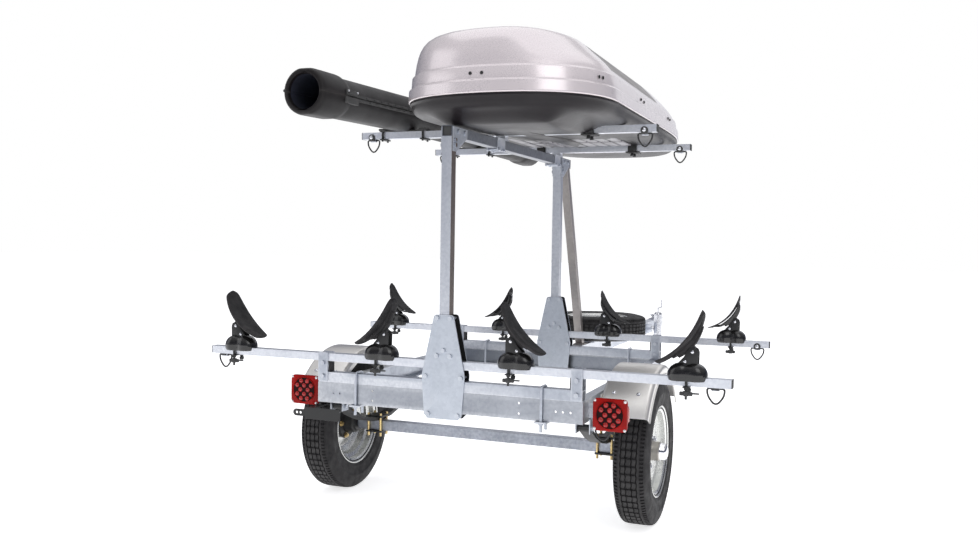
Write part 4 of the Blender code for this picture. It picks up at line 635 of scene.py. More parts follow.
    def sweep(self, path: Sequence[Sequence[float]], outline: Sequence[Point], up: Sequence[float],
              closed: bool = False) -> list[Vert]:
        """Carry an outline along a path, square to it.

        Args:
            path: the points that its middle follows.
            outline: (sideways, up) points of the section.
            up: a direction that is never along the path.
            closed: whether the path ends where it starts.

        Returns:
            The new vertices.
        """
        points = [Vector(point) for point in path]
        count = len(points)
        rings = []
        for index, point in enumerate(points):
            before = points[(index - 1) % count] if closed or index else point
            after = points[(index + 1) % count] if closed or index < count - 1 else point
            ahead = (after - before).normalized()
            side = ahead.cross(Vector(up)).normalized()
            over = side.cross(ahead)
            bend = 1.0
            if before != point and after != point:
                cosine = (point - before).normalized().dot((after - point).normalized())
                bend = 1 / max(0.6, math.sqrt((1 + cosine) / 2))
            rings.append([point + side * across * bend + over * rise for across, rise in outline])
        return self.skin(rings, looped=closed)

    def prism(self, outline: Sequence[Point], low: float, high: float, axis: Axis, width: float) -> "Shape":
        """Push a flat outline from low to high along an axis: X (y, z), Y (x, z) or Z (x, y)."""
        lay = {Axis.X: lambda u, v, w: (w, u, v), Axis.Y: lambda u, v, w: (u, w, v),
               Axis.Z: lambda u, v, w: (u, v, w)}[axis]
        made = self.skin([[lay(u, v, w) for u, v in outline] for w in (low, high)])
        self.soften(made, width, sharper=40.0)
        self.mark()
        return self

    def hex_bolt(self, axis: Axis, at: Sequence[float], out: int, across: float = 0.017,
                 stud: float = 0.0) -> "Shape":
        """Add a washer and a hexagon head or nut that stand out from a face.

        Args:
            axis: the bolt's line.
            at: the middle of the bolt on the face.
            out: which way along the axis it stands, 1 or -1.
            across: the width over the hexagon's flats.
            stud: how far the threaded end shows past a nut.

        Returns:
            The same shape.
        """
        place, line = Vector(at), axis.line * out
        washer = 0.0016
        head = 0.42 * across
        self.drum(axis, place + line * washer * 0.5, 0.68 * across, washer, 20, width=0.0003)
        self.drum(axis, place + line * (washer + head / 2), 0.577 * across, head, 6, width=0.0008, spin=0.3)
        if stud:
            self.drum(axis, place + line * (washer + head + stud / 2), 0.30 * across, stud, 12, width=0.0006)
        return self

    def dome_bolt(self, axis: Axis, at: Sequence[float], out: int, radius: float = 0.009) -> "Shape":
        """Add a round mushroom head that stands out from a face."""
        profile = [(-0.001, 0.0), (-0.001, radius), (0.0012, radius), (0.42 * radius, 0.72 * radius),
                   (0.55 * radius, 0.34 * radius), (0.58 * radius, 0.0)]
        self.revolve(profile, at, axis, 18, closed=False, out=out)
        return self

    def piece(self, name: str, body: str, slot: str, stands_for: Sequence[str] = (), smooth: float = 32.0,
              weighted: bool = False) -> bpy.types.Object:
        """Turn the shape into a finished piece of the trailer.

        Args:
            name: the piece's name.
            body: the CAD body it moves with.
            slot: not used.
            stands_for: CAD nodes that it replaces.
            smooth: the angle in degrees above which an edge stays sharp.
            weighted: whether large faces set the shading, as on bevelled flat stock.

        Returns:
            The finished object.
        """
        mesh = bpy.data.meshes.new(name)
        self.bm.faces.layers.int.remove(self.painted)
        self.bm.to_mesh(mesh)
        self.bm.free()
        for finish in self.finishes:
            mesh.materials.append(finish.material())
        mesh.shade_smooth()
        mesh.set_sharp_from_angle(angle=math.radians(smooth))
        item = bpy.data.objects.new(name, mesh)
        bpy.context.scene.collection.objects.link(item)
        if weighted:
            shading = item.modifiers.new("face_weight", "WEIGHTED_NORMAL")
            shading.keep_sharp = True
        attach(item, body)
        if stands_for:
            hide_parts(*stands_for)
        LOG.info("%s: %d faces on %s", name, len(mesh.polygons), body)
        return item


def dress_node(node: str, finish: Finish, body: str, slot: str, width: float = 0.0008,
               extra: Callable[[Shape], None] | None = None) -> bpy.types.Object:
    """Replace a CAD node by a merged copy with rounded edges and added detail.

    Args:
        node: the CAD node.
        finish: its finish.
        body: the body it rides on.
        slot: handed on to the piece.
        width: how far its edges are rounded.
        extra: adds fasteners and trim to the shape.

    Returns:
        The finished object.
    """
    shape = Shape(finish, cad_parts[node].data)
    shape.soften(list(shape.bm.verts), width)
    shape.mark()
    if extra:
        extra(shape)
    return shape.piece(f"{node}_finished", body, slot, [node], weighted=True)


ENDS = ("rear", "front")
AXLE = Span.of("axle").middle
BAR_HEIGHT = 0.0285
BAR_DEPTH = 0.036


@dataclass
class Wheel:
    """A tyre with its rim and hub, standing on the axle or lying flat."""

    radius: float = 0.269
    bead: float = 0.1533
    tread_steps: int = 240
    rim_steps: int = 96
    groove: float = 0.006
    zigzag: float = 0.0012
    notch: float = 0.0035
    shoulder: Point = (0.037, 0.056)
    nut_circle: float = 0.057
    nuts: int = 5
    barrel: tuple[Point, ...] = (
        (0.010, 0.0), (0.010, 0.0405), (0.024, 0.0395), (0.026, 0.0355), (0.056, 0.0350), (0.058, 0.0330),
        (0.058, 0.0))
    cap: tuple[Point, ...] = (
        (0.056, 0.0), (0.056, 0.0315), (0.061, 0.0330), (0.064, 0.0315), (0.076, 0.0300), (0.082, 0.0255),
        (0.0855, 0.016), (0.0865, 0.0))
    inner: tuple[Point, ...] = (
        (0.012, 0.0), (0.012, 0.068), (0.004, 0.070), (-0.004, 0.066), (-0.006, 0.046), (-0.046, 0.042),
        (-0.050, 0.036), (-0.058, 0.034), (-0.058, 0.0))
    rim_section: tuple[Point, ...] = (
        (-0.0565, 0.165), (-0.0555, 0.1685), (-0.051, 0.1665), (-0.047, 0.155), (-0.044, 0.1525),
        (-0.022, 0.1515), (-0.016, 0.136), (0.016, 0.136), (0.022, 0.1515), (0.044, 0.1525), (0.047, 0.155),
        (0.051, 0.1665), (0.0555, 0.1685), (0.0565, 0.165), (0.052, 0.160), (0.049, 0.1515),
        (0.046, 0.1485), (0.0245, 0.1475), (0.019, 0.133), (0.012, 0.131), (0.010, 0.128), (0.022, 0.112),
        (0.026, 0.098), (0.018, 0.080), (0.020, 0.066), (0.020, 0.040), (0.016, 0.040), (0.016, 0.066),
        (0.014, 0.080), (0.022, 0.098), (0.018, 0.112), (0.006, 0.128), (-0.012, 0.132), (-0.019, 0.133),
        (-0.0245, 0.1475), (-0.046, 0.1485), (-0.049, 0.1515), (-0.052, 0.160))

    def section(self) -> list[Point]:
        """The tyre's closed section as (along, radius), from the tread's middle round to the inside."""
        top, deep, bead = self.radius, self.radius - self.groove, self.bead
        half = [(0.008, top), (0.0087, deep), (0.0118, deep), (0.0125, top), (0.0255, top), (0.0262, deep),
                (0.0293, deep), (0.030, top), (0.0385, top - 0.0006), (0.046, top - 0.002),
                (0.052, top - 0.006), (0.057, top - 0.014), (0.061, top - 0.028), (0.063, top - 0.040),
                (0.0652, top - 0.046), (0.0652, top - 0.053), (0.064, top - 0.055), (0.0632, top - 0.070),
                (0.060, top - 0.086), (0.0605, top - 0.089), (0.0585, top - 0.094), (0.054, bead + 0.010),
                (0.052, bead + 0.004), (0.046, bead), (0.036, bead), (0.050, bead + 0.04), (0.052, top - 0.05),
                (0.040, top - 0.018), (0.016, top - 0.014)]
        return half + [(-along, radius) for along, radius in reversed(half)]

    @staticmethod
    def turn_of(offset: Vector, axis: Axis) -> tuple[float, float, float]:
        """Split an offset from the wheel's middle into place along the axis, radius and angle."""
        along = offset.dot(axis.line)
        across = offset - axis.line * along
        first, second = (across.y, across.z) if axis is Axis.X else (across.x, across.y)
        return along, across.length, math.atan2(second, first)

    def tread(self, shape: Shape, middle: Vector, axis: Axis) -> None:
        """Bend the grooves to a zigzag, notch the shoulders and cut the ribs across."""
        step = 2 * math.pi / self.tread_steps
        notched, cuts = [], []
        for vert in shape.bm.verts:
            along, radius, angle = self.turn_of(vert.co - middle, axis)
            if abs(along) < 0.034 and radius > self.radius - self.groove - 0.001:
                wave = (-1, 0, 1, 0)[round(angle / step) % 4]
                vert.co += axis.line * self.zigzag * wave
        for face in shape.bm.faces:
            along, radius, angle = self.turn_of(face.calc_center_median() - middle, axis)
            outside = radius > self.radius - 0.008 and self.shoulder[0] < abs(along) < self.shoulder[1]
            if outside and math.floor(angle / step + (0.5 if along > 0 else 1.5)) % 2 == 0:
                notched.append(face)
            rib = abs(along) < 0.008 or 0.0135 < abs(along) < 0.0245
            if rib and radius > self.radius - 0.001 and math.floor(angle / step) % 4 == 0:
                cuts.append(face)
        bmesh.ops.inset_individual(shape.bm, faces=notched, thickness=0.0009, depth=-self.notch)
        bmesh.ops.inset_individual(shape.bm, faces=cuts, thickness=0.0016, depth=-self.notch)

    def tyre(self, name: str, middle: Vector, axis: Axis, body: str, stands_for: str) -> None:
        """Build the tyre."""
        shape = Shape(TYRE)
        shape.revolve(self.section(), middle, axis, self.tread_steps)
        self.tread(shape, middle, axis)
        shape.mark()
        shape.piece(name, body, "tyre", [stands_for], smooth=28.0)

    def rim(self, middle: Vector, axis: Axis, out: int = 1) -> Shape:
        """Start a rim round a middle, with its outboard face one way along the axis."""
        shape = Shape(RIM_METAL)
        shape.revolve(self.rim_section, middle, axis, self.rim_steps, out=out)
        return shape

    def hub(self, shape: Shape, middle: Vector, out: int) -> None:
        """Add the hub barrel, the grease cap, the wheel nuts and the inboard seal."""
        for finish, profile, steps in ((HUB_METAL, self.barrel, 48), (CHROME, self.cap, 40),
                                       (BLACK_STEEL, self.inner, 40)):
            shape.paint(finish).revolve(profile, middle, Axis.X, steps, closed=False, out=out)
        for turn in full_turn(self.nuts, 0.5):
            spot = middle + Vector((out * 0.020, 0, 0))
            spot += Vector((0, math.cos(turn), math.sin(turn))) * self.nut_circle
            shape.paint(BRIGHT_ZINC).hex_bolt(Axis.X, spot, out, 0.020, 0.004)
            back = spot - Vector((out * 0.0265, 0, 0))
            shape.paint(YELLOW_ZINC).hex_bolt(Axis.X, back, -out, 0.017, 0.003)

    def pair(self, side: Side) -> None:
        """Build a road wheel on its side of the trailer."""
        name, body = side.word, f"{side.word}_wheel"
        middle = Span.of(f"{name}_tyre").middle
        self.tyre(f"{name}_tyre_finished", middle, Axis.X, body, f"{name}_tyre")
        shape = self.rim(middle, Axis.X, side.value)
        self.hub(shape, middle, side.value)
        shape.piece(f"{name}_rim_finished", body, "zinc", [f"{name}_rim"], smooth=40.0)

    def spare(self) -> None:
        """Build the spare, which lies flat on the tongue and has no hub."""
        middle = Span.of("spare_wheel").middle
        self.tyre("spare_tyre", middle, Axis.Z, TRAILER, "spare_wheel")
        self.rim(middle, Axis.Z).piece("spare_rim", TRAILER, "zinc", smooth=40.0)


@dataclass
class Fender:
    """A rolled mudguard with rounded shoulders, on two brackets."""

    side: Side
    radius: float = 0.320
    inner: float = 0.5205
    width: float = 0.1765
    start: float = math.radians(31.0)
    corner: float = 0.016
    lip: float = 0.018
    skin: float = 0.0016
    steps: int = 72
    bracket: float = 0.212
    rivets: Point = (0.562, 0.650)

    def contour(self, inset: float) -> list[Point]:
        """The section's outer or inner line as (x, radius)."""
        low, high = self.inner + inset, self.inner + self.width - inset
        top, foot, bend = self.radius - inset, self.radius - self.corner - self.lip, self.corner - inset
        points = [(low, foot)]
        for centre, first in ((low + bend, math.pi), (high - bend, math.pi / 2)):
            for step in range(7):
                turn = first - math.pi / 2 * step / 6
                points.append((centre + bend * math.cos(turn), top - bend + bend * math.sin(turn)))
        return [*points, (high, foot)]

    def round_wheel(self, section: Sequence[Point]) -> list[list[Vector]]:
        """A section of (x, radius) points at each step round the wheel."""
        made = []
        for step in range(self.steps + 1):
            turn = self.start + (math.pi - 2 * self.start) * step / self.steps
            made.append([Vector((self.side.value * x, AXLE.y + r * math.cos(turn), AXLE.z + r * math.sin(turn)))
                         for x, r in section])
        return made

    def mount(self, shape: Shape, end: int) -> None:
        """Add the bracket on the side rail and its rivets, behind (-1) or ahead (1) of the axle."""
        rail = Span.of(f"{self.side.word}_side_rail")
        inner = rail.high.x if self.side is Side.RIGHT else -rail.low.x
        y = AXLE.y + end * self.bracket
        shape.block((self.side.value * (inner + 0.0003), y - 0.018, rail.high.z - 0.026),
                    (self.side.value * (self.inner + 0.0015), y + 0.018, rail.high.z), 0.0012)
        tilt = math.asin(self.bracket / self.radius)
        for x in self.rivets:
            start = set(shape.bm.verts)
            shape.paint(BRIGHT_ZINC).dome_bolt(Axis.Z, (0, 0, 0), 1, 0.0075)
            made = [vert for vert in shape.bm.verts if vert not in start]
            place = Vector((self.side.value * x, AXLE.y + end * self.radius * math.sin(tilt),
                            AXLE.z + self.radius * math.cos(tilt)))
            matrix = Matrix.Translation(place) @ Matrix.Rotation(-end * tilt, 4, "X")
            bmesh.ops.transform(shape.bm, matrix=matrix, verts=made)
        shape.paint(FENDER_METAL)

    def build(self) -> None:
        """Build the mudguard with a bead rolled along its outer lip."""
        shape = Shape(FENDER_METAL)
        shape.skin(self.round_wheel(self.contour(0.0) + list(reversed(self.contour(self.skin)))))
        bead = (self.inner + self.width + 0.001, self.radius - self.corner - self.lip)
        shape.sweep([row[0] for row in self.round_wheel([bead])], circle(0.0032, 8), up=(1, 0, 0))
        for end in (-1, 1):
            self.mount(shape, end)
        name = f"{self.side.word}_fender"
        shape.piece(f"{name}_finished", TRAILER, "silver", [name], smooth=35.0)


@dataclass
class TailLamp:
    """A square red lamp with a round dark lens full of small light domes."""

    side: Side
    out: float = 0.593
    height: float = 0.4595
    depth: float = 0.037
    half: Point = (0.0590, 0.0550)
    corner_power: float = 9.0
    frame_depth: float = 0.011
    disc: float = 0.0455
    dome: float = 0.0088
    screw: Point = (0.0520, 0.0480)
    ring: tuple[Point, ...] = (
        (-0.001, 0.0480), (0.0030, 0.0476), (0.0042, 0.0466), (0.0030, 0.0456), (-0.001, 0.0452))
    rows: tuple[tuple[float, tuple[float, ...]], ...] = (
        (0.033, (-0.013, 0.013)), (0.0165, (-0.030, 0.0, 0.030)), (0.0, (-0.016, 0.016)),
        (-0.0165, (-0.030, 0.0, 0.030)), (-0.033, (-0.013, 0.013)))

    def outline(self, middle: Vector, y: float, scale: float) -> list[Vector]:
        """The lamp's rounded square at a depth."""
        spots = [superellipse(turn, self.corner_power) for turn in full_turn(56, 0.5)]
        return [Vector((middle.x + self.half[0] * scale * across, y, middle.z + self.half[1] * scale * rise))
                for across, rise in spots]

    def build(self) -> None:
        """Build the lamp, its lenses and its screws."""
        node = f"{self.side.word}_tail_light"
        back = Span.of(node).high.y
        face = back - self.depth
        middle = Vector((self.side.value * self.out, face, self.height))
        shape = Shape(LAMP_RED)
        shape.skin([self.outline(middle, y, scale) for y, scale in (
            (face + self.frame_depth, 1.0), (face + 0.002, 1.0), (face + 0.0004, 0.985), (face, 0.955))])
        shape.revolve(self.ring, middle, Axis.Y, 64, out=-1)
        shape.paint(BLACK_PLASTIC)
        shape.skin([self.outline(middle, y, scale) for y, scale in (
            (face + self.frame_depth - 0.0005, 0.90), (back - 0.004, 0.90), (back, 0.84))])
        self.lens(shape, middle)
        shape.paint(SCREW_WHITE)
        for across in (-self.screw[0], self.screw[0]):
            for rise in (-self.screw[1], self.screw[1]):
                shape.dome_bolt(Axis.Y, middle + Vector((across, -0.0004, rise)), -1, 0.0048)
        self.marker(shape, middle, back)
        if self.side is Side.RIGHT:
            self.lead(shape, middle, back)
        shape.piece(f"{node}_finished", TRAILER, "lens", [node], smooth=38.0)

    def lens(self, shape: Shape, middle: Vector) -> None:
        """Add the dark disc and the light domes on it."""
        disc, dome = self.disc, self.dome
        face = [(0.001, 0.0), (0.001, disc), (-0.0022, disc), (-0.0030, 0.030), (-0.0034, 0.0)]
        shape.paint(LAMP_DARK).revolve(face, middle, Axis.Y, 64, closed=False)
        light = [(0.0, 0.0), (0.0, dome), (-0.0012, dome * 0.96), (-0.0034, dome * 0.70),
                 (-0.0046, dome * 0.36), (-0.0050, 0.0)]
        shape.paint(LAMP_LED)
        for rise, places in self.rows:
            for across in places:
                shape.revolve(light, middle + Vector((across, -0.0026, rise)), Axis.Y, 18, closed=False)

    def marker(self, shape: Shape, middle: Vector, back: float) -> None:
        """Add the side marker's lens on the housing's outer wall, with a pale face that is a painted reflection.
        """
        edge = middle.x + self.side.value * 0.0495
        # The outer block's pale finish is a painted reflection.
        for finish, half, depth, out in ((LAMP_RED, 0.030, 0.026, 0.008), (LENS_PAINTED_REFLECTION, 0.024, 0.014, 0.0105)):
            shape.paint(finish).block((edge, back - depth, middle.z - half),
                                      (edge + self.side.value * out, back - 0.003, middle.z + half), 0.003)

    @staticmethod
    def lead(shape: Shape, middle: Vector, back: float) -> None:
        """Add the loop of cable below the lamp."""
        path = []
        for step in range(25):
            turn = math.pi * step / 24
            path.append((middle.x - 0.027 * (1 - math.cos(turn)), back - 0.0185, 0.415 - 0.045 * math.sin(turn)))
        shape.paint(BLACK_PLASTIC).sweep(path, circle(0.0032, 10), up=(0, 1, 0))


@dataclass
class Saddle:
    """A hull saddle: a two-lobed base clamped to a bar and a cradle that tilts on it."""

    end: str
    number: int
    x: float
    towards: int
    base_half: Point = (0.065, 0.042)
    base_height: float = 0.048
    base_power: float = 2.6
    pivot: Point = (-0.016, 0.082)
    low_bolt: Point = (0.007, 0.050)
    tip: Point = (-0.041, 0.215)
    heel: Point = (0.106, 0.046)
    sag: float = 0.024
    width: float = 0.110
    tip_width: float = 0.050
    keel: float = 0.020
    rod_shifts: tuple[float, ...] = (-0.016, 0.013, -0.019, 0.0)
    skirt: float = 0.012
    plates: tuple[Point, ...] = ((-0.0160, -0.0128), (0.0128, 0.0160))
    steps: int = 36
    levels: tuple[Point, ...] = (
        (0.0006, 0.94), (0.0045, 1.0), (0.012, 0.985), (0.020, 0.945), (0.028, 0.875), (0.035, 0.775),
        (0.0405, 0.64), (0.0445, 0.47), (0.047, 0.28), (0.048, 0.10))
    bracket: tuple[Point, ...] = (
        (0.0300, 0.034), (0.0255, 0.0490), (0.0125, 0.0630), (-0.0060, 0.0915), (-0.0115, 0.0950),
        (-0.0220, 0.0960), (-0.0310, 0.0910), (-0.0350, 0.0800), (-0.0340, 0.034))

    def __post_init__(self) -> None:
        """Read the bar that the saddle stands on."""
        bar = Span.of(f"{self.end}_load_bar")
        self.y, self.top = bar.middle.y, bar.high.z
        self.covered = self.end == "rear"
        self.rod = self.rod_shifts[self.number - 1] if self.covered else 0.0
        if not self.covered:
            self.tip, self.heel, self.width, self.tip_width = (-0.030, 0.193), (0.098, 0.054), 0.096, 0.040

    def place(self, offset: float, rise: float, y: float = 0.0) -> Vector:
        """A point by its distance towards the hull, above the bar and ahead of the saddle's middle."""
        return Vector((self.x + self.towards * offset, self.y + y, self.top + rise))

    def cradle(self, part: float, below: float) -> Point:
        """A point of the cradle's section, by its share of the length and its depth below the surface."""
        start, finish = Vector(self.tip), Vector(self.heel)
        along = (finish - start).normalized()
        under = Vector((along.y, -along.x))
        spot = start + (finish - start) * part + under * (self.sag * 4 * part * (1 - part) + below)
        return (spot.x, spot.y)

    def lobe(self, turn: float, level: float, scale: float) -> Vector:
        """A point of the base's outline, drawn in at the middle between its lobes."""
        across, ahead = superellipse(turn, self.base_power)
        along = self.base_half[0] * scale * across
        waist = 1 - 0.26 * math.exp(-((along / 0.016) ** 2))
        sink = 0.006 * math.exp(-((along / 0.013) ** 2)) * ramp(level, 0.030, self.base_height)
        return self.place(along, level - sink, self.base_half[1] * (0.25 + 0.75 * scale) * ahead * waist)

    def base(self) -> None:
        """Build the base with its bracket, bolts, clamp plate and knob."""
        shape = Shape(SADDLE_GLOSS)
        turns = full_turn(48)
        shape.skin([[self.lobe(turn, level, scale) for turn in turns] for level, scale in self.levels])
        for side in (-1, 1):
            self.apron(shape, side)
        shape.paint(BLACK_STEEL)
        outline = [(self.x + self.towards * u, self.top + v) for u, v in self.bracket]
        for near, far in self.plates:
            shape.prism(outline, self.y + near, self.y + far, Axis.Y, 0.0010)
        shape.block(self.place(-0.0245, 0.030, -0.0126), self.place(0.0245, 0.046, 0.0126), 0.0015)
        shape.paint(BRIGHT_ZINC)
        for face, out in ((self.plates[0][0], -1), (self.plates[1][1], 1)):
            for spot in (self.pivot, self.low_bolt):
                shape.dome_bolt(Axis.Y, self.place(*spot, face), out, 0.0052)
        self.clamp(shape)
        name = f"{self.end}_saddle_{self.number}_base"
        shape.piece(f"{name}_finished", TRAILER, "black_plastic", [name], smooth=40.0)

    def apron(self, shape: Shape, side: int) -> None:
        """Add the edge of the base that hangs down beside the bar, behind (-1) or ahead (1)."""
        near = BAR_DEPTH / 2 + 0.0012
        turns = [(math.pi * step / 24) + (0.0 if side > 0 else math.pi) for step in range(25)]
        rings = []
        for level, scale in ((-self.skirt, 0.90), (-self.skirt + 0.002, 0.94), (-0.003, 0.985), (0.006, 0.99)):
            spots = [self.lobe(turn, level, scale) for turn in turns[3:22]]
            rings.append([Vector((spot.x, self.y + side * max(near, (spot.y - self.y) * side), spot.z))
                          for spot in spots])
        shape.skin(rings)

    def clamp(self, shape: Shape) -> None:
        """Add the two rods past the bar, the plate below it and the wing knobs."""
        reach, under, at = BAR_DEPTH / 2 + 0.006, -BAR_HEIGHT - 0.0003, self.rod
        shape.paint(BLACK_STEEL)
        shape.block(self.place(at - 0.011, under - 0.004, -reach - 0.009),
                    self.place(at + 0.011, under, reach + 0.009), 0.001)
        for ahead in (-reach, reach):
            shape.drum(Axis.Z, self.place(at, (under - 0.016 + 0.014) / 2, ahead), 0.0042, 0.030 - under, 12)
            shape.hex_bolt(Axis.Z, self.place(at, under - 0.004, ahead), -1, 0.013)
        knob = self.place(at, under - 0.0225, -reach)
        shape.paint(BLACK_PLASTIC)
        shape.drum(Axis.Z, knob, 0.0085, 0.016, 16, far_radius=0.0105, width=0.0015)
        shape.block(knob + Vector((-0.021, -0.0045, -0.007)), knob + Vector((0.021, 0.0045, 0.006)), 0.003, 3)
        if self.covered:
            shape.block(knob + Vector((0.006, -0.004, -0.001)), knob + Vector((0.042, 0.003, 0.004)), 0.0015)
            shape.drum(Axis.Z, knob - Vector((0, 0, 0.012)), 0.0040, 0.014, 12, width=0.0006)
        knob = self.place(at, under - 0.0185, reach)
        shape.drum(Axis.Z, knob, 0.0075, 0.012, 16, far_radius=0.009, width=0.0015)

    def wide(self, part: float) -> float:
        """Half of the cradle's width at a share of its length."""
        return (self.tip_width + (self.width - self.tip_width) * math.sin(math.pi * part) ** 0.5) / 2

    def sheet(self, shape: Shape, over: float, depth: float) -> None:
        """Add the cradle's soft surface with rounded rims and rounded tips.

        Args:
            shape: what it is added to.
            over: how far it runs past the cradle's ends, as a share of the length.
            depth: its thickness.
        """
        rings = []
        for step in range(self.steps + 1):
            part = -over + (1 + 2 * over) * (1 - math.cos(math.pi * step / self.steps)) / 2
            ease = math.sin(math.pi * min(step, self.steps - step, 6) / 12)
            half = self.wide(min(1.0, max(0.0, part))) * (0.12 + 0.88 * ease)
            thick = depth * (0.35 + 0.65 * ease)
            ring = []
            for turn in full_turn(16):
                across, rise = superellipse(turn, 3.2)
                spot = self.cradle(part, thick / 2 * (1 - rise) + 0.0025 * (1 - abs(across)) * ease)
                ring.append(self.place(*spot, half * across))
            rings.append(ring)
        shape.skin(rings)

    def rib(self, shape: Shape, spread: Point, run: Point, top: Callable[[float], float],
            depth: Callable[[float], float]) -> None:
        """Add an upright web under the cradle.

        Args:
            shape: what it is added to.
            spread: its two faces, ahead of the cradle's middle.
            run: the shares of the cradle's length where it starts and stops.
            top: how far below the surface it starts, at a share of the length.
            depth: how deep it is there.
        """
        rings = []
        for step in range(self.steps + 1):
            part = run[0] + (run[1] - run[0]) * step / self.steps
            high, low = self.cradle(part, top(part)), self.cradle(part, top(part) + depth(part))
            rings.append([self.place(*high, spread[0]), self.place(*high, spread[1]),
                          self.place(*low, spread[1] * 0.96), self.place(*low, spread[0] * 0.96)])
        shape.soften(shape.skin(rings), 0.0012, 2, 50.0)
        shape.mark()

    @staticmethod
    def bow(part: float) -> float:
        """A rise from 0 at both ends to 1 in the middle."""
        return math.sin(math.pi * min(1.0, max(0.0, part)))

    def gap(self, part: float) -> float:
        """The space between an open cradle's strip and its shell."""
        return 0.003 + 0.0085 * min(1.0, 2.6 * self.bow((part - 0.12) / 0.76)) ** 0.5

    def covered_pad(self, shape: Shape) -> None:
        """Add a thick pad over a broad and a narrow web."""
        self.sheet(shape, 0.008, 0.015)
        self.rib(shape, (-0.0200, 0.0200), (0.04, 0.78), lambda part: 0.010,
                 lambda part: 0.003 + 0.014 * self.bow(part) ** 0.7)
        self.rib(shape, (-0.0120, 0.0120), (0.16, 0.72), lambda part: 0.012,
                 lambda part: 0.004 + self.keel * self.bow(part) ** 0.8)

    def open_pad(self, shape: Shape) -> None:
        """Add a thin strip over an open shell of webs and cross rods."""
        self.sheet(shape, 0.040, 0.0055)
        shape.paint(SADDLE_GLOSS)
        for spread in ((-0.0255, -0.0205), (0.0205, 0.0255)):
            self.rib(shape, spread, (0.02, 0.98), self.gap, lambda part: 0.002 + 0.0115 * self.bow(part) ** 0.7)
        self.rib(shape, (-0.0120, 0.0120), (0.10, 0.72), self.gap,
                 lambda part: 0.002 + 0.0215 * self.bow(part) ** 0.7)
        for part in (0.08, 0.30, 0.52, 0.74, 0.93):
            shape.drum(Axis.Y, self.place(*self.cradle(part, self.gap(part) + 0.004)), 0.0030, 0.050, 10)

    def pad(self) -> None:
        """Build the cradle: a covered pad at the rear, an open shell with a thin strip at the front."""
        shape = Shape(PAD_RUBBER)
        (self.covered_pad if self.covered else self.open_pad)(shape)
        shape.paint(BLACK_STEEL)
        shape.drum(Axis.Y, self.place(*self.pivot), 0.0105, 0.0240, 20, width=0.001)
        shape.drum(Axis.Y, self.place(self.pivot[0], self.pivot[1] + 0.010), 0.0085, 0.0236, 16)
        name = f"{self.end}_saddle_{self.number}_pad"
        shape.piece(f"{name}_finished", name, "rubber", [name], smooth=42.0)

    def build(self) -> None:
        """Build the base and its cradle."""
        self.base()
        self.pad()


@dataclass
class TieRing:
    """A wire ring that hangs from a clip near the end of a bar."""

    level: str
    end: str
    side: Side
    half: float = 0.0265
    drop: float = 0.049
    wire: float = 0.0032
    corner: float = 0.006
    disc: tuple[Point, ...] = ((0.0, 0.0), (0.0, 0.015), (-0.003, 0.0145), (-0.0065, 0.010), (-0.007, 0.0))

    def path(self, pivot: Vector) -> list[Vector]:
        """The wire's middle line: a straight top and two bowed sides that meet in a point."""
        right = []
        for step in range(7):
            turn = math.pi / 2 - 1.75 * step / 6
            right.append((self.half - self.corner + self.corner * 1.15 * math.cos(turn),
                          -self.corner + self.corner * math.sin(turn)))
        across, rise = right[-1]
        for step in range(1, 13):
            share = step / 12
            right.append((across * math.cos(share * 1.32) ** 0.85,
                          rise - (self.drop - 0.003 + rise) * share ** 0.92))
        half = [*right, (right[-1][0] * 0.5, -self.drop + 0.0008), (0.0, -self.drop)]
        points = half + [(-across, rise) for across, rise in reversed(half[:-1])]
        return [pivot + Vector((across, 0, rise)) for across, rise in points]

    def build(self) -> None:
        """Build the ring on its own body, or on the trailer where the part has none."""
        node = f"{self.level}_{self.end}_{self.side.word}_ring"
        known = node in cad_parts
        twin = Span.of(f"{self.level}_{self.end}_right_ring")
        pivot = Vector((self.side.value * twin.middle.x, twin.middle.y, twin.high.z - self.wire))
        shape = Shape(BLACK_STEEL)
        shape.sweep(self.path(pivot), circle(self.wire, 10), up=(0, 1, 0), closed=True)
        shape.piece(f"{node}_finished", node if known else TRAILER, "black_steel", [node] if known else [])
        self.clip(pivot).piece(f"{node}_clip", TRAILER, "black_plastic")

    def clip(self, pivot: Vector) -> Shape:
        """The ring's clip on the bar, with a round disc except at the lower tier's rear."""
        clip = Shape(BLACK_PLASTIC)
        rear = pivot.y - BAR_DEPTH / 2
        if self.end == "front" or self.level == "upper":
            clip.revolve(self.disc, (pivot.x, rear - 0.0002, pivot.z + 0.010), Axis.Y, 28, closed=False)
            clip.paint(BRIGHT_ZINC).dome_bolt(Axis.Y, (pivot.x, rear - 0.0068, pivot.z + 0.011), -1, 0.0075)
        clip.paint(BLACK_PLASTIC)
        return clip.block((pivot.x - 0.013, rear - 0.001, pivot.z - 0.0035),
                          (pivot.x + 0.013, rear + 0.004, pivot.z + 0.004), 0.001)


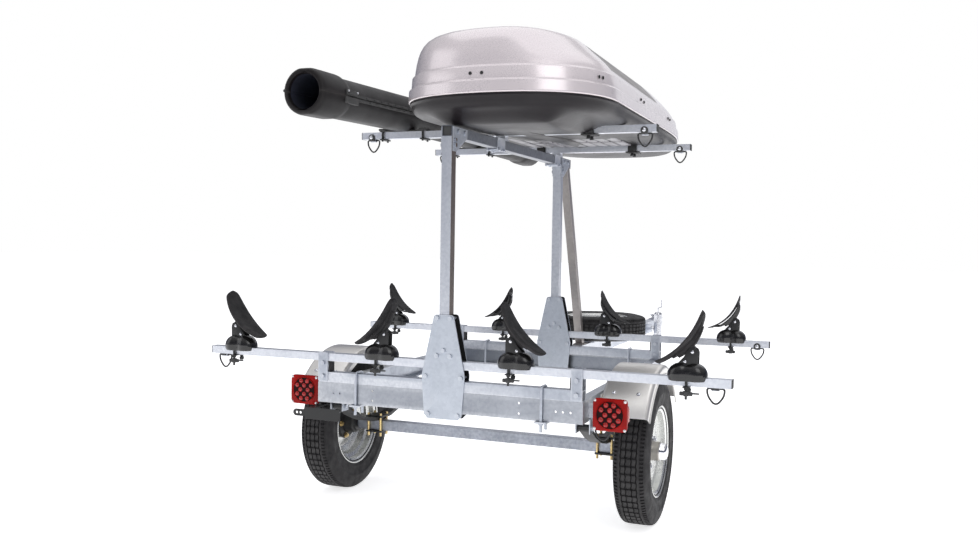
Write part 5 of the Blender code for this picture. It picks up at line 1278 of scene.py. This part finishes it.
@dataclass
class CargoBox:
    """A roof box: a silver lid over a dark tray with a belly behind the rear bar."""

    centre: float = 0.1455
    half_width: float = 0.395
    points: int = 192
    rear_length: float = 0.360
    rear_power: float = 2.35
    front_length: float = 0.950
    front_power: float = 3.2
    tray_height: float = 0.0517
    fall: float = 0.062
    rise: float = 0.210
    skin: float = 0.004
    belly: float = 0.040
    hollow: float = 0.022
    round_off: float = 0.074
    screw_line: float = 0.068
    screws: tuple[float, ...] = (141.1, 143.45)
    side_screws: tuple[float, ...] = (-1.632, -1.610, -1.091, -1.036, -0.525, -0.475)
    clamp_reach: float = 0.220
    panel: Point = (0.043, 0.0525)
    panel_rows: tuple[Point, ...] = ((-1.175, 0.200), (-0.955, 0.200), (-0.735, 0.170), (-0.450, 0.200))
    lid_levels: tuple[Point, ...] = (
        (0.0015, 0.0), (0.0, 0.0015), (-0.0012, 0.0045), (0.0002, 0.0080), (0.0008, 0.0395), (0.0020, 0.0430),
        (0.0060, 0.0450), (0.0088, 0.0475), (0.0098, 0.0510), (0.0122, 0.0890), (0.0138, 0.0918),
        (0.0178, 0.0938), (0.0204, 0.0965), (0.0216, 0.1005), (0.0238, 0.1200), (0.0272, 0.1430),
        (0.0324, 0.1680), (0.0396, 0.1900), (0.0490, 0.2080), (0.0605, 0.2220), (0.0755, 0.2335),
        (0.0940, 0.2420), (0.1200, 0.2485), (0.1560, 0.2528), (0.2050, 0.2546), (0.2700, 0.2552),
        (0.3300, 0.2553))
    tray_levels: tuple[Point, ...] = (
        (0.0060, 0.0512), (0.0045, 0.0495), (0.0045, 0.0440), (0.0100, 0.0400), (0.0125, 0.0350),
        (0.0150, 0.0260), (0.0190, 0.0180), (0.0260, 0.0105), (0.0360, 0.0050), (0.0480, 0.0018),
        (0.0640, 0.0002))
    inside_levels: tuple[Point, ...] = (
        (0.360, 0.0042), (0.085, 0.0042), (0.055, 0.0060), (0.040, 0.0110), (0.032, 0.0200), (0.029, 0.0400),
        (0.028, 0.0512))

    def __post_init__(self) -> None:
        """Read where the lid lies."""
        lid = Span.of("cargo_box_lid")
        self.rear, self.front = lid.low.y, lid.high.y
        self.lip = lid.low.z
        self.floor = self.lip - self.tray_height

    def at(self, index: float, inset: float, level: float) -> Vector:
        """A point of the outline, drawn inwards and set at a level."""
        turn = 2 * math.pi * (index + 0.5) / self.points
        forward = math.sin(turn) > 0
        across, ahead = superellipse(turn, self.front_power if forward else self.rear_power)
        length = self.front_length if forward else self.rear_length
        start = self.front - self.front_length if forward else self.rear + self.rear_length
        x = self.centre + max(0.0, self.half_width - inset) * across
        return Vector((x, start + max(0.0, length - inset) * ahead, level))

    def scoop(self, spot: Vector, rise: float) -> float:
        """How far the recess in the lid's right flank is drawn in at a point."""
        along = ramp(spot.y, -1.52, -1.40) * (1 - ramp(spot.y, -0.98, -0.84))
        height = ramp(rise, 0.108, 0.134) * (1 - ramp(rise, 0.190, 0.215))
        return self.hollow * along * height * ramp(spot.x - self.centre, 0.16, 0.26)

    def shoulder(self, spot: Vector, rise: float) -> float:
        """How far the lid's right shoulder is rounded off at a point, most of all towards its rear."""
        across = ramp(spot.x - self.centre, 0.02, 0.33)
        rear = 1 - 0.40 * ramp(spot.y, -1.30, -0.50)
        return self.round_off * across * rear * ramp(rise, 0.095, 0.225)

    def in_scoop(self, spot: Vector, normal: Vector) -> bool:
        """Whether a face of the lid lies in the recess, the part that gets painted shade."""
        right = spot.x > self.centre and normal.x > 0.2
        return right and self.scoop(spot, spot.z - self.lip) > 0.45 * self.hollow

    def lid_point(self, index: float, inset: float, rise: float) -> Vector:
        """A point of the lid's skin, with its fall to the front, its recess and its eased shoulder."""
        spot = self.at(index, inset, self.lip + rise)
        drawn, rounded = self.scoop(spot, rise), self.shoulder(spot, rise)
        if drawn + rounded:
            spot = self.at(index, inset + drawn + rounded, self.lip + rise - 0.25 * drawn)
        share = max(0.0, (rise - 0.044) / self.rise)
        spot.z -= self.fall * share * (spot.y - self.rear) / (self.front - self.rear)
        return spot

    def tray_point(self, index: float, inset: float, rise: float) -> Vector:
        """A point of the tray's outside, with the belly behind the rear bar."""
        spot = self.floor_point(index, inset, rise)
        across = ramp(spot.x, -0.125, -0.020) * (1 - ramp(spot.x, 0.330, 0.435))
        along = ramp(spot.y, -1.800, -1.690) * (1 - ramp(spot.y, -1.400, -1.318))
        spot.z -= self.belly * across * along * ramp(inset, 0.020, 0.085)
        return spot

    def floor_point(self, index: float, inset: float, rise: float) -> Vector:
        """A point of the tray's inside."""
        return self.at(index, inset, self.floor + rise)

    def shell(self, shape: Shape, outer: Sequence[Point], inner: Sequence[Point], outside: Place,
              inside: Place) -> None:
        """Add a closed shell of two skins joined round the rim, and turn it outwards.

        Args:
            shape: what it is added to.
            outer: the outer skin's levels as (inset, rise), from the rim.
            inner: the inner skin's levels, towards the rim.
            outside: gives a point of the outer skin.
            inside: gives a point of the inner skin.
        """
        first = [[outside(index, *level) for index in range(self.points)] for level in outer]
        second = [[inside(index, *level) for index in range(self.points)] for level in inner]
        shape.skin(first, caps=(False, True))
        shape.skin(second, caps=(True, False))
        rims = []
        for ring in (first[0], second[-1]):
            found = {spot_key(point) for point in ring}
            rims += [edge for edge in shape.bm.edges
                     if edge.is_boundary and all(spot_key(vert.co) in found for vert in edge.verts)]
        bmesh.ops.bridge_loops(shape.bm, edges=rims)
        bmesh.ops.recalc_face_normals(shape.bm, faces=shape.bm.faces)
        shape.mark()

    def lid(self) -> None:
        """Build the lid with its banded edge, its recess in painted shade, and its screws."""
        shape = Shape(LID_SILVER)
        inner = [(inset + self.skin, max(0.0, rise - self.skin)) for inset, rise in reversed(self.lid_levels[3:])]
        self.shell(shape, self.lid_levels, [*inner, (0.0045, 0.0)], self.lid_point, self.lid_point)
        # The recess's faces get dark grey as painted shade.
        shape.repaint(SCOOP_PAINTED_SHADE, self.in_scoop)
        shape.paint(DEEP_BLACK)
        for index in self.screws:
            shape.dome_bolt(Axis.Y, self.lid_point(index, 0.0104, self.screw_line), -1, 0.0060)
        for y in self.side_screws:
            spot = self.lid_point(self.side_index(y), 0.0100, self.screw_line)
            shape.dome_bolt(Axis.X, (spot.x, y, spot.z), 1, 0.0060)
        shape.piece("cargo_box_lid_finished", "cargo_box_lid", "lid", ["cargo_box_lid"], smooth=50.0)

    def side_index(self, y: float) -> float:
        """The outline's index on the right side at a place along the box."""
        return min((step * 0.25 for step in range(-176, 184)), key=lambda step: abs(self.at(step, 0, 0).y - y))

    def base(self) -> None:
        """Build the tray with its ribbed floor and bar clamps."""
        shape = Shape(TRAY_PLASTIC)
        under = [(0.064 + 0.0148 * step, 0.0) for step in range(1, 21)]
        self.shell(shape, [*self.tray_levels, *under], self.inside_levels, self.tray_point, self.floor_point)
        self.ribs(shape)
        for end in ENDS:
            bar = Span.of(f"{end}_upper_bar")
            for x in (self.centre - self.clamp_reach, self.centre + self.clamp_reach):
                self.clamp(shape, x, bar.high.y - BAR_DEPTH, bar.high.z - BAR_HEIGHT - 0.0075)
        shape.piece("cargo_box_base_finished", TRAILER, "black_plastic", ["cargo_box_base"], smooth=50.0)

    def ribs(self, shape: Shape) -> None:
        """Add the rows of raised panels under the floor, with gaps between them, in a grey far paler than the
        tray: painted light from the floor below.
        """
        # The panels are painted pale as painted light.
        shape.paint(UNDERSIDE_PAINTED_LIGHT)
        for start, length in self.panel_rows:
            for column in range(9):
                x = self.centre - 0.236 + column * self.panel[1]
                shape.block((x, start, self.floor - 0.0085),
                            (x + self.panel[0], start + length, self.floor + 0.0006), 0.0055, 3)

    def clamp(self, shape: Shape, x: float, face: float, low: float) -> None:
        """Add one of the box's feet on a bar whose rear face and underside are given."""
        shape.paint(BLACK_PLASTIC)
        shape.block((x - 0.030, face - 0.013, low), (x + 0.030, face + BAR_DEPTH + 0.013, low + 0.0065), 0.002)
        shape.paint(BLACK_STEEL)
        for y in (face - 0.0060, face + BAR_DEPTH + 0.0060):
            shape.drum(Axis.Z, (x, y, low + 0.018), 0.0042, 0.044, 12)
            shape.block((x - 0.020, y - 0.003, low + 0.004), (x + 0.020, y + 0.003, self.floor + 0.0015), 0.001)
            shape.drum(Axis.Z, (x, y, low - 0.007), 0.0085, 0.014, 14, far_radius=0.0065, width=0.001)

    def build(self) -> None:
        """Build the tray and the lid."""
        self.base()
        self.lid()


@dataclass
class GearTube:
    """A long tube in two halves, with flats below, bells at its ends and a latch strip."""

    x: float = -0.435
    radius: float = 0.0738
    bell: float = 0.0828
    bore: float = 0.0600
    rear_droop: float = 0.018
    front_droop: float = 0.010
    turns: int = 40
    strip_from: float = 0.230
    ribs: int = 30
    rib_pitch: float = 0.0575
    latches: Point = (0.150, 0.205)
    clamp_reach: float = 0.093
    flare: tuple[Triple, ...] = (
        (0.0, 0.0665, 0.0655), (0.0004, 0.0735, 0.0635), (0.0030, 0.0775, 0.0620), (0.0080, 0.0808, 0.0608),
        (0.0160, 0.0822, 0.0602), (0.0260, 0.0828, 0.0600), (0.095, 0.0828, 0.0600), (0.160, 0.0822, 0.0600),
        (0.172, 0.0812, 0.0600), (0.184, 0.0785, 0.0600), (0.194, 0.0755, 0.0600), (0.204, 0.0738, 0.0600))

    def __post_init__(self) -> None:
        """Read where the halves lie."""
        lid = Span.of("gear_tube_lid")
        self.hinge = lid.low.x
        self.rear, self.front = lid.low.y, lid.high.y
        self.z = lid.low.z + self.rear_droop
        self.bars = (Span.of("rear_upper_bar").high.y - BAR_DEPTH, Span.of("front_upper_bar").high.y)
        self.latch_places = (self.rear + self.latches[0], self.front - self.latches[1])

    def seam(self, y: float) -> float:
        """The height of the tube's middle, which sags beyond the bars."""
        near, far = self.bars
        if y < near:
            return self.z - self.rear_droop * (near - y) / (near - self.rear)
        if y > far:
            return self.z - self.front_droop * (y - far) / (self.front - far)
        return self.z

    def stations(self) -> list[tuple[float, float, float]]:
        """(y, outer radius, bore radius) along the tube."""
        run = self.flare[-1][0]
        even = [self.rear + run + (self.front - self.rear - 2 * run) * step / 12 for step in range(1, 12)]
        rows = [(self.rear + along, outer, inner) for along, outer, inner in self.flare]
        rows += [(y, self.radius, self.bore) for y in sorted([*even, *self.bars])]
        return rows + [(self.front - along, outer, inner) for along, outer, inner in reversed(self.flare)]

    def half_ring(self, y: float, outer: float, inner: float, side: int) -> list[Vector]:
        """Half of the tube's wall at a station, above (1) or below (-1) its seam."""
        points = []
        for radius, order in ((outer, 1), (inner, -1)):
            row = []
            for step in range(self.turns + 1):
                turn = math.pi * step / self.turns
                rise = radius * math.sin(turn)
                if radius == outer:
                    limit = radius - 0.0034 if side < 0 else 0.965 * radius
                    rise = min(rise, limit + 0.12 * (rise - limit))
                row.append(Vector((self.x + radius * math.cos(turn), y, self.seam(y) + side * (rise + 0.0004))))
            points += row[::order]
        return points

    def in_bore(self, middle: Vector, _: Vector) -> bool:
        """Whether a face lies on the bore's wall."""
        out = math.hypot(middle.x - self.x, middle.z - self.seam(middle.y))
        return self.rear + 0.012 < middle.y and out < self.bore + 0.0009

    def half(self, side: int) -> Shape:
        """Start one half of the tube, with a dark bore; what follows is black plastic."""
        shape = Shape(TUBE_PLASTIC)
        shape.skin([self.half_ring(*row, side) for row in self.stations()])
        shape.repaint(BORE_DARK, self.in_bore)
        return shape.paint(BLACK_PLASTIC)

    def lid(self) -> None:
        """Build the upper half with the upper half of the latch strip."""
        shape = self.half(1)
        self.strip(shape, 0.300, 0.0015, 0.012)
        for y in self.latch_places:
            self.latch(shape, y)
        knob = (self.hinge + 0.004, self.rear + 0.020, self.seam(self.rear + 0.020) + 0.004)
        shape.drum(Axis.Y, knob, 0.0055, 0.030, 14, width=0.001)
        shape.piece("gear_tube_lid_finished", "gear_tube_lid", "black_plastic", ["gear_tube_lid"], smooth=45.0)

    def strip(self, shape: Shape, first: float, low: float, high: float) -> None:
        """Add one side of the ribbed strip that follows the seam.

        Args:
            shape: what it is added to.
            first: where its first rib starts, from the tube's rear end.
            low: its lower edge, above the seam.
            high: its upper edge, above the seam.
        """
        edge = self.x + self.radius
        rings = []
        for y in (self.rear + self.strip_from, *self.bars, self.front - self.strip_from):
            z = self.seam(y)
            rings.append([(edge - 0.004, y, z + low), (edge + 0.006, y, z + low), (edge + 0.006, y, z + high),
                          (edge - 0.004, y, z + high)])
        shape.soften(shape.skin(rings), 0.0015)
        shape.mark()
        middle, half = (low + high) / 2, (abs(high) + abs(low)) / 2 - 0.0030
        for step in range(self.ribs):
            y = self.rear + first + self.rib_pitch * step
            z = self.seam(y + 0.017) + middle
            shape.block((edge - 0.002, y, z - half), (edge + 0.0095, y + 0.034, z + half), 0.0022)

    def latch(self, shape: Shape, y: float) -> None:
        """Add a snap latch with its lever and bright pins."""
        edge, z = self.x + self.bell, self.seam(y + 0.037)
        shape.block((edge - 0.016, y, z + 0.002), (edge + 0.004, y + 0.075, z + 0.022), 0.003)
        shape.block((edge - 0.010, y + 0.010, z + 0.006), (edge + 0.010, y + 0.055, z + 0.014), 0.003)
        shape.paint(BRIGHT_ZINC)
        for place in (0.006, 0.069):
            shape.drum(Axis.X, (edge + 0.004, y + place, z + 0.016), 0.0035, 0.010, 12, width=0.0006)
        shape.paint(BLACK_PLASTIC)

    def body(self) -> None:
        """Build the lower half with its side of the strip, its seats and its bar clamps."""
        shape = self.half(-1)
        self.strip(shape, 0.329, -0.012, -0.0015)
        for y in self.latch_places:
            edge, z = self.x + self.bell, self.seam(y + 0.037)
            shape.block((edge - 0.016, y - 0.006, z - 0.026), (edge + 0.0035, y + 0.085, z - 0.002), 0.003)
        for end in ENDS:
            bar = Span.of(f"{end}_upper_bar")
            face, top = bar.high.y - BAR_DEPTH, bar.high.z
            shape.block((self.x - 0.106, face - 0.010, top + 0.0003),
                        (self.x + 0.106, face + BAR_DEPTH + 0.010, top + 0.0055), 0.0015)
            for x in (self.x - self.clamp_reach, self.x + self.clamp_reach):
                self.clamp(shape, x, face, top)
        shape.piece("gear_tube_body_finished", TRAILER, "black_plastic", ["gear_tube_body"], smooth=45.0)

    @staticmethod
    def clamp(shape: Shape, x: float, face: float, top: float) -> None:
        """Add a foot, a plate and two rods round a bar whose rear face and top are given."""
        far, low = face + BAR_DEPTH, top - BAR_HEIGHT - 0.006
        shape.block((x - 0.017, face - 0.012, top + 0.0045), (x + 0.017, far + 0.012, top + 0.0135), 0.003)
        shape.paint(BLACK_STEEL)
        shape.block((x - 0.011, face - 0.012, low), (x + 0.011, far + 0.012, low + 0.0055), 0.001)
        for y in (face - 0.0060, far + 0.0060):
            shape.drum(Axis.Z, (x, y, top - 0.014), 0.0040, 0.052, 12)
        shape.paint(BLACK_PLASTIC)

    def build(self) -> None:
        """Build both halves."""
        self.body()
        self.lid()


@dataclass
class LadderFrame:
    """The steel that stands on the axle: crossmembers, rails, risers and springs."""

    strip_line: float = 0.4675
    spring_line: float = 0.485
    bolt_half: Point = (0.0275, 0.0265)

    def build(self) -> None:
        """Dress each piece and add its fasteners."""
        for end in ENDS:
            dress_node(f"{end}_crossmember", CHANNEL_STEEL, TRAILER, "galvanised", 0.0012)
            dress_node(f"{end}_riser", RAIL_STEEL, TRAILER, "galvanised", 0.0008, self.riser_trim(end))
        for side in Side:
            name = side.word
            dress_node(f"{name}_side_rail", RAIL_STEEL, TRAILER, "galvanised", 0.0010)
            dress_node(f"{name}_leaf_spring", BLACK_STEEL, TRAILER, "black_steel", 0.0010, self.spring_trim(side))
        # The axle is painted darker as painted shade, and its top face lighter as painted light.
        dress_node("axle", AXLE_PAINTED_SHADE, TRAILER, "galvanised", 0.0020, self.axle_trim)
        dress_node("plate_bracket", BLACK_STEEL, TRAILER, "black_steel", 0.0008)

    @staticmethod
    def axle_trim(shape: Shape) -> None:
        """Paint the axle's upper face in the lighter galvanised finish: a painted highlight on top, over the
        painted shade of the rest.
        """
        shape.repaint(GALVANISED, lambda middle, normal: normal.z > 0.9)

    def riser_trim(self, end: str) -> Callable[[Shape], None]:
        """The rubber strips beside the riser's end plates."""
        def add(shape: Shape) -> None:
            """Add the strips."""
            bar = Span.of(f"{end}_load_bar")
            y, base = bar.middle.y, bar.high.z - BAR_HEIGHT - 0.0405
            shape.paint(PAD_RUBBER)
            for side in (-1, 1):
                near = side * self.strip_line
                shape.block((near - side * 0.0047, y - 0.017, base), (near, y + 0.017, base + 0.0400), 0.001)
        return add

    def spring_trim(self, side: Side) -> Callable[[Shape], None]:
        """The yellow-zinc legs of a leaf spring's U-bolts."""
        def add(shape: Shape) -> None:
            """Add them round the axle."""
            shape.paint(YELLOW_ZINC)
            for across in (-self.bolt_half[0], self.bolt_half[0]):
                for ahead in (-self.bolt_half[1], self.bolt_half[1]):
                    spot = (side.value * self.spring_line + across, AXLE.y + ahead, AXLE.z + 0.004)
                    shape.drum(Axis.Z, spot, 0.0052, 0.094, 12, width=0.0006)
        return add


def bar_caps(node: str) -> Callable[[Shape], None]:
    """Black caps in both ends of a bar."""
    def add(shape: Shape) -> None:
        """Add a cap with a thin rim at each end."""
        span = Span.of(node)
        top, low, middle = span.high.z, span.high.z - BAR_HEIGHT, span.high.y - BAR_DEPTH / 2
        shape.paint(BLACK_PLASTIC)
        for x, out in ((span.low.x, -1), (span.high.x, 1)):
            shape.block((x - out * 0.0005, middle - 0.0182, low - 0.0002),
                        (x + out * 0.0030, middle + 0.0182, top + 0.0002), 0.0012)
            shape.block((x - out * 0.0150, middle - 0.0145, low + 0.0035), (x, middle + 0.0145, top - 0.0035))
    return add


@dataclass
class LoadTier:
    """The two long lower bars with their saddles, rings and the plates that hold them."""

    rear_x: tuple[float, ...] = (-0.868, -0.256, 0.264, 0.850)
    front_x: tuple[float, ...] = (-0.850, -0.260, 0.260, 0.826)
    towards: tuple[int, ...] = (1, -1, 1, -1)
    facing: float = 0.027

    def build(self) -> None:
        """Build both bars and everything on them."""
        for end, places in zip(ENDS, (self.rear_x, self.front_x)):
            bar = f"{end}_load_bar"
            dress_node(bar, GALVANISED, TRAILER, "galvanised", 0.0018, bar_caps(bar))
            # The post plates get painted shade on their inner faces.
            dress_node(f"{end}_post_plates", PLATE, TRAILER, "galvanised", 0.0008, self.plate_trim(end))
            for number, (x, towards) in enumerate(zip(places, self.towards), start=1):
                Saddle(end, number, x, towards).build()
            for side in Side:
                TieRing("lower", end, side).build()

    def plate_trim(self, end: str) -> Callable[[Shape], None]:
        """Painted shade: deep black on the faces that a pair of post plates turns to each other, where the gap
        between them lies in shade.
        """
        middle = Span.of(f"{end}_post_plates").middle.y

        def inward(spot: Vector, normal: Vector) -> bool:
            """Whether a face looks at the other plate."""
            off = spot.y - middle
            return abs(normal.y) > 0.9 and off * normal.y < 0 and abs(off) < self.facing
        # Deep black on these inner faces is painted shade.
        return lambda shape: shape.repaint(DEEP_BLACK, inward)


@dataclass
class UpperTier:
    """The posts, the beam along the top, its bars and the slanting brace."""

    cap_half: float = 0.0163

    def build(self) -> None:
        """Dress each piece and add its fasteners."""
        for end in ENDS:
            # Only the rear post gets painted shade on its right side.
            bar, trim = f"{end}_upper_bar", self.paint_post_shade if end == "rear" else None
            dress_node(f"{end}_post", RAIL_STEEL, TRAILER, "galvanised", 0.0014, trim)
            dress_node(bar, GALVANISED, TRAILER, "galvanised", 0.0014, bar_caps(bar))
            for side in Side:
                TieRing("upper", end, side).build()
        dress_node("upper_beam", BEAM_STEEL, TRAILER, "galvanised", 0.0016, self.beam_caps)
        # The brace is dressed in a darker brown copy of the galvanised finish: painted shade.
        dress_node("brace", BRACE_PAINTED_SHADE, TRAILER, "galvanised", 0.0016)

    @staticmethod
    def paint_post_shade(shape: Shape) -> None:
        """Paint shade on the post's right side below the beam, in a dark brown copy of the galvanised finish."""
        top = Span.of("upper_beam").low.z - 0.004
        shape.repaint(POST_PAINTED_SHADE, lambda spot, normal: normal.x > 0.9 and spot.z < top)

    def beam_caps(self, shape: Shape) -> None:
        """Recessed caps in the beam's open ends."""
        span = Span.of("upper_beam")
        shape.paint(BLACK_PLASTIC)
        for y, out in ((span.low.y, -1), (span.high.y, 1)):
            shape.block((-self.cap_half, y - out * 0.012, span.low.z + 0.0027),
                        (self.cap_half, y - out * 0.004, span.high.z - 0.0027), 0.001)


@dataclass
class Hitch:
    """The drawbar with its coupler, latch, jack and spare wheel."""

    rounding: float = 0.0010

    def build(self) -> None:
        """Build them from the tongue forwards."""
        dress_node("tongue", GALVANISED, TRAILER, "galvanised", 0.0014)
        dress_node("coupler", BRIGHT_ZINC, TRAILER, "zinc", 0.0022)
        for name in ("coupler_latch", "jack", "jack_leg"):
            dress_node(name, BRIGHT_ZINC, name, "zinc", self.rounding)
        Wheel().spare()


@dataclass
class Studio:
    """The camera, the lights and the pale floor."""

    eye: Triple = (1.3597, -4.80705, 1.0351)
    yaw: float = 0.3753
    pitch: float = -0.0363
    roll: float = 0.0161
    focal: float = 945.0
    picture_width: float = 978.0
    sensor: float = 36.0
    floor_half: float = 40.0
    sky: tuple[tuple[float, Colour], ...] = (
        (0.0, (0.60, 0.59, 0.58)), (0.44, (0.46, 0.46, 0.49)), (0.50, (0.26, 0.27, 0.35)),
        (0.56, (0.10, 0.11, 0.16)), (0.64, (0.12, 0.13, 0.17)), (0.78, (0.50, 0.50, 0.52)),
        (1.0, (0.62, 0.63, 0.66)))

    def camera(self) -> None:
        """Place the camera as in the photograph."""
        level = math.cos(self.pitch)
        ahead = Vector((-math.sin(self.yaw) * level, math.cos(self.yaw) * level, math.sin(self.pitch)))
        right = ahead.cross(Vector((0, 0, 1))).normalized()
        over = right.cross(ahead)
        side = right * math.cos(self.roll) + over * math.sin(self.roll)
        up = over * math.cos(self.roll) - right * math.sin(self.roll)
        lens = bpy.data.cameras.new("view")
        lens.sensor_width = self.sensor
        lens.lens = self.focal * self.sensor / self.picture_width
        lens.clip_end = 200.0
        item = bpy.data.objects.new("view", lens)
        item.matrix_world = Matrix.Translation(self.eye) @ Matrix((side, up, -ahead)).transposed().to_4x4()
        bpy.context.scene.collection.objects.link(item)
        bpy.context.scene.camera = item

    @staticmethod
    def lamp(name: str, place: Triple, aim: Triple, size: Point, power: float) -> None:
        """Add a rectangular softbox that looks at a point."""
        light = bpy.data.lights.new(name, "AREA")
        light.shape = "RECTANGLE"
        light.size, light.size_y = size
        light.energy = power
        item = bpy.data.objects.new(name, light)
        item.location = place
        item.rotation_euler = (Vector(aim) - Vector(place)).to_track_quat("-Z", "Y").to_euler()
        bpy.context.scene.collection.objects.link(item)

    def world(self) -> None:
        """White behind the object; what surfaces mirror is bright above and below, dark at the horizon."""
        world = bpy.data.worlds.new("studio")
        bpy.context.scene.world = world
        world.use_nodes = True
        world.node_tree.nodes.clear()
        web = Web(world.node_tree)
        split, height = web.add("SeparateXYZ"), web.add("MapRange", From_Min=-1.0)
        tones = web.add("ValToRGB")
        stops = tones.color_ramp.elements
        for position, _ in self.sky[1:-1]:
            stops.new(position)
        for element, (position, colour) in zip(stops, self.sky):
            element.position = position
            element.color = (*colour, 1.0)
        shade = web.add("Background")
        web.join(web.add("TexCoord"), "Generated", split, "Vector")
        web.join(split, "Z", height, "Value")
        web.join(height, "Result", tones, "Fac")
        seen = web.add("LightPath").outputs["Is Camera Ray"]
        web.tree.links.new(blend(web, seen, tones.outputs["Color"], (1.0, 1.0, 1.0)), shade.inputs["Color"])
        web.join(shade, "Background", web.add("OutputWorld"), "Surface")

    def floor(self) -> None:
        """Lay a wide pale floor."""
        mesh = bpy.data.meshes.new("floor")
        bm = bmesh.new()
        bmesh.ops.create_grid(bm, x_segments=1, y_segments=1, size=self.floor_half)
        bm.to_mesh(mesh)
        bm.free()
        mesh.materials.append(FLOOR.material())
        item = bpy.data.objects.new("floor", mesh)
        bpy.context.scene.collection.objects.link(item)

    def build(self) -> None:
        """Set the whole studio up."""
        self.camera()
        self.world()
        self.floor()
        self.lamp("key", (4.0, -5.5, 5.0), (0, -0.8, 0.7), (3.5, 3.5), 85.0)
        self.lamp("fill", (-5.5, -4.0, 3.0), (0, -0.8, 0.7), (4.0, 4.0), 50.0)
        self.lamp("top", (0.0, -0.5, 6.0), (0, -0.5, 0.0), (7.0, 7.0), 110.0)
        self.lamp("back", (0.0, 6.0, 4.0), (0, 0, 0.6), (7.0, 4.0), 60.0)
        bpy.context.scene.view_settings.view_transform = "Standard"


def main() -> None:
    """Build the trailer piece by piece."""
    logging.basicConfig(level=logging.INFO, format="%(message)s")
    Studio().build()
    LadderFrame().build()
    LoadTier().build()
    UpperTier().build()
    Hitch().build()
    for side in Side:
        Wheel().pair(side)
        Fender(side).build()
        TailLamp(side).build()
    CargoBox().build()
    GearTube().build()


if __name__ == "__main__":
    main()
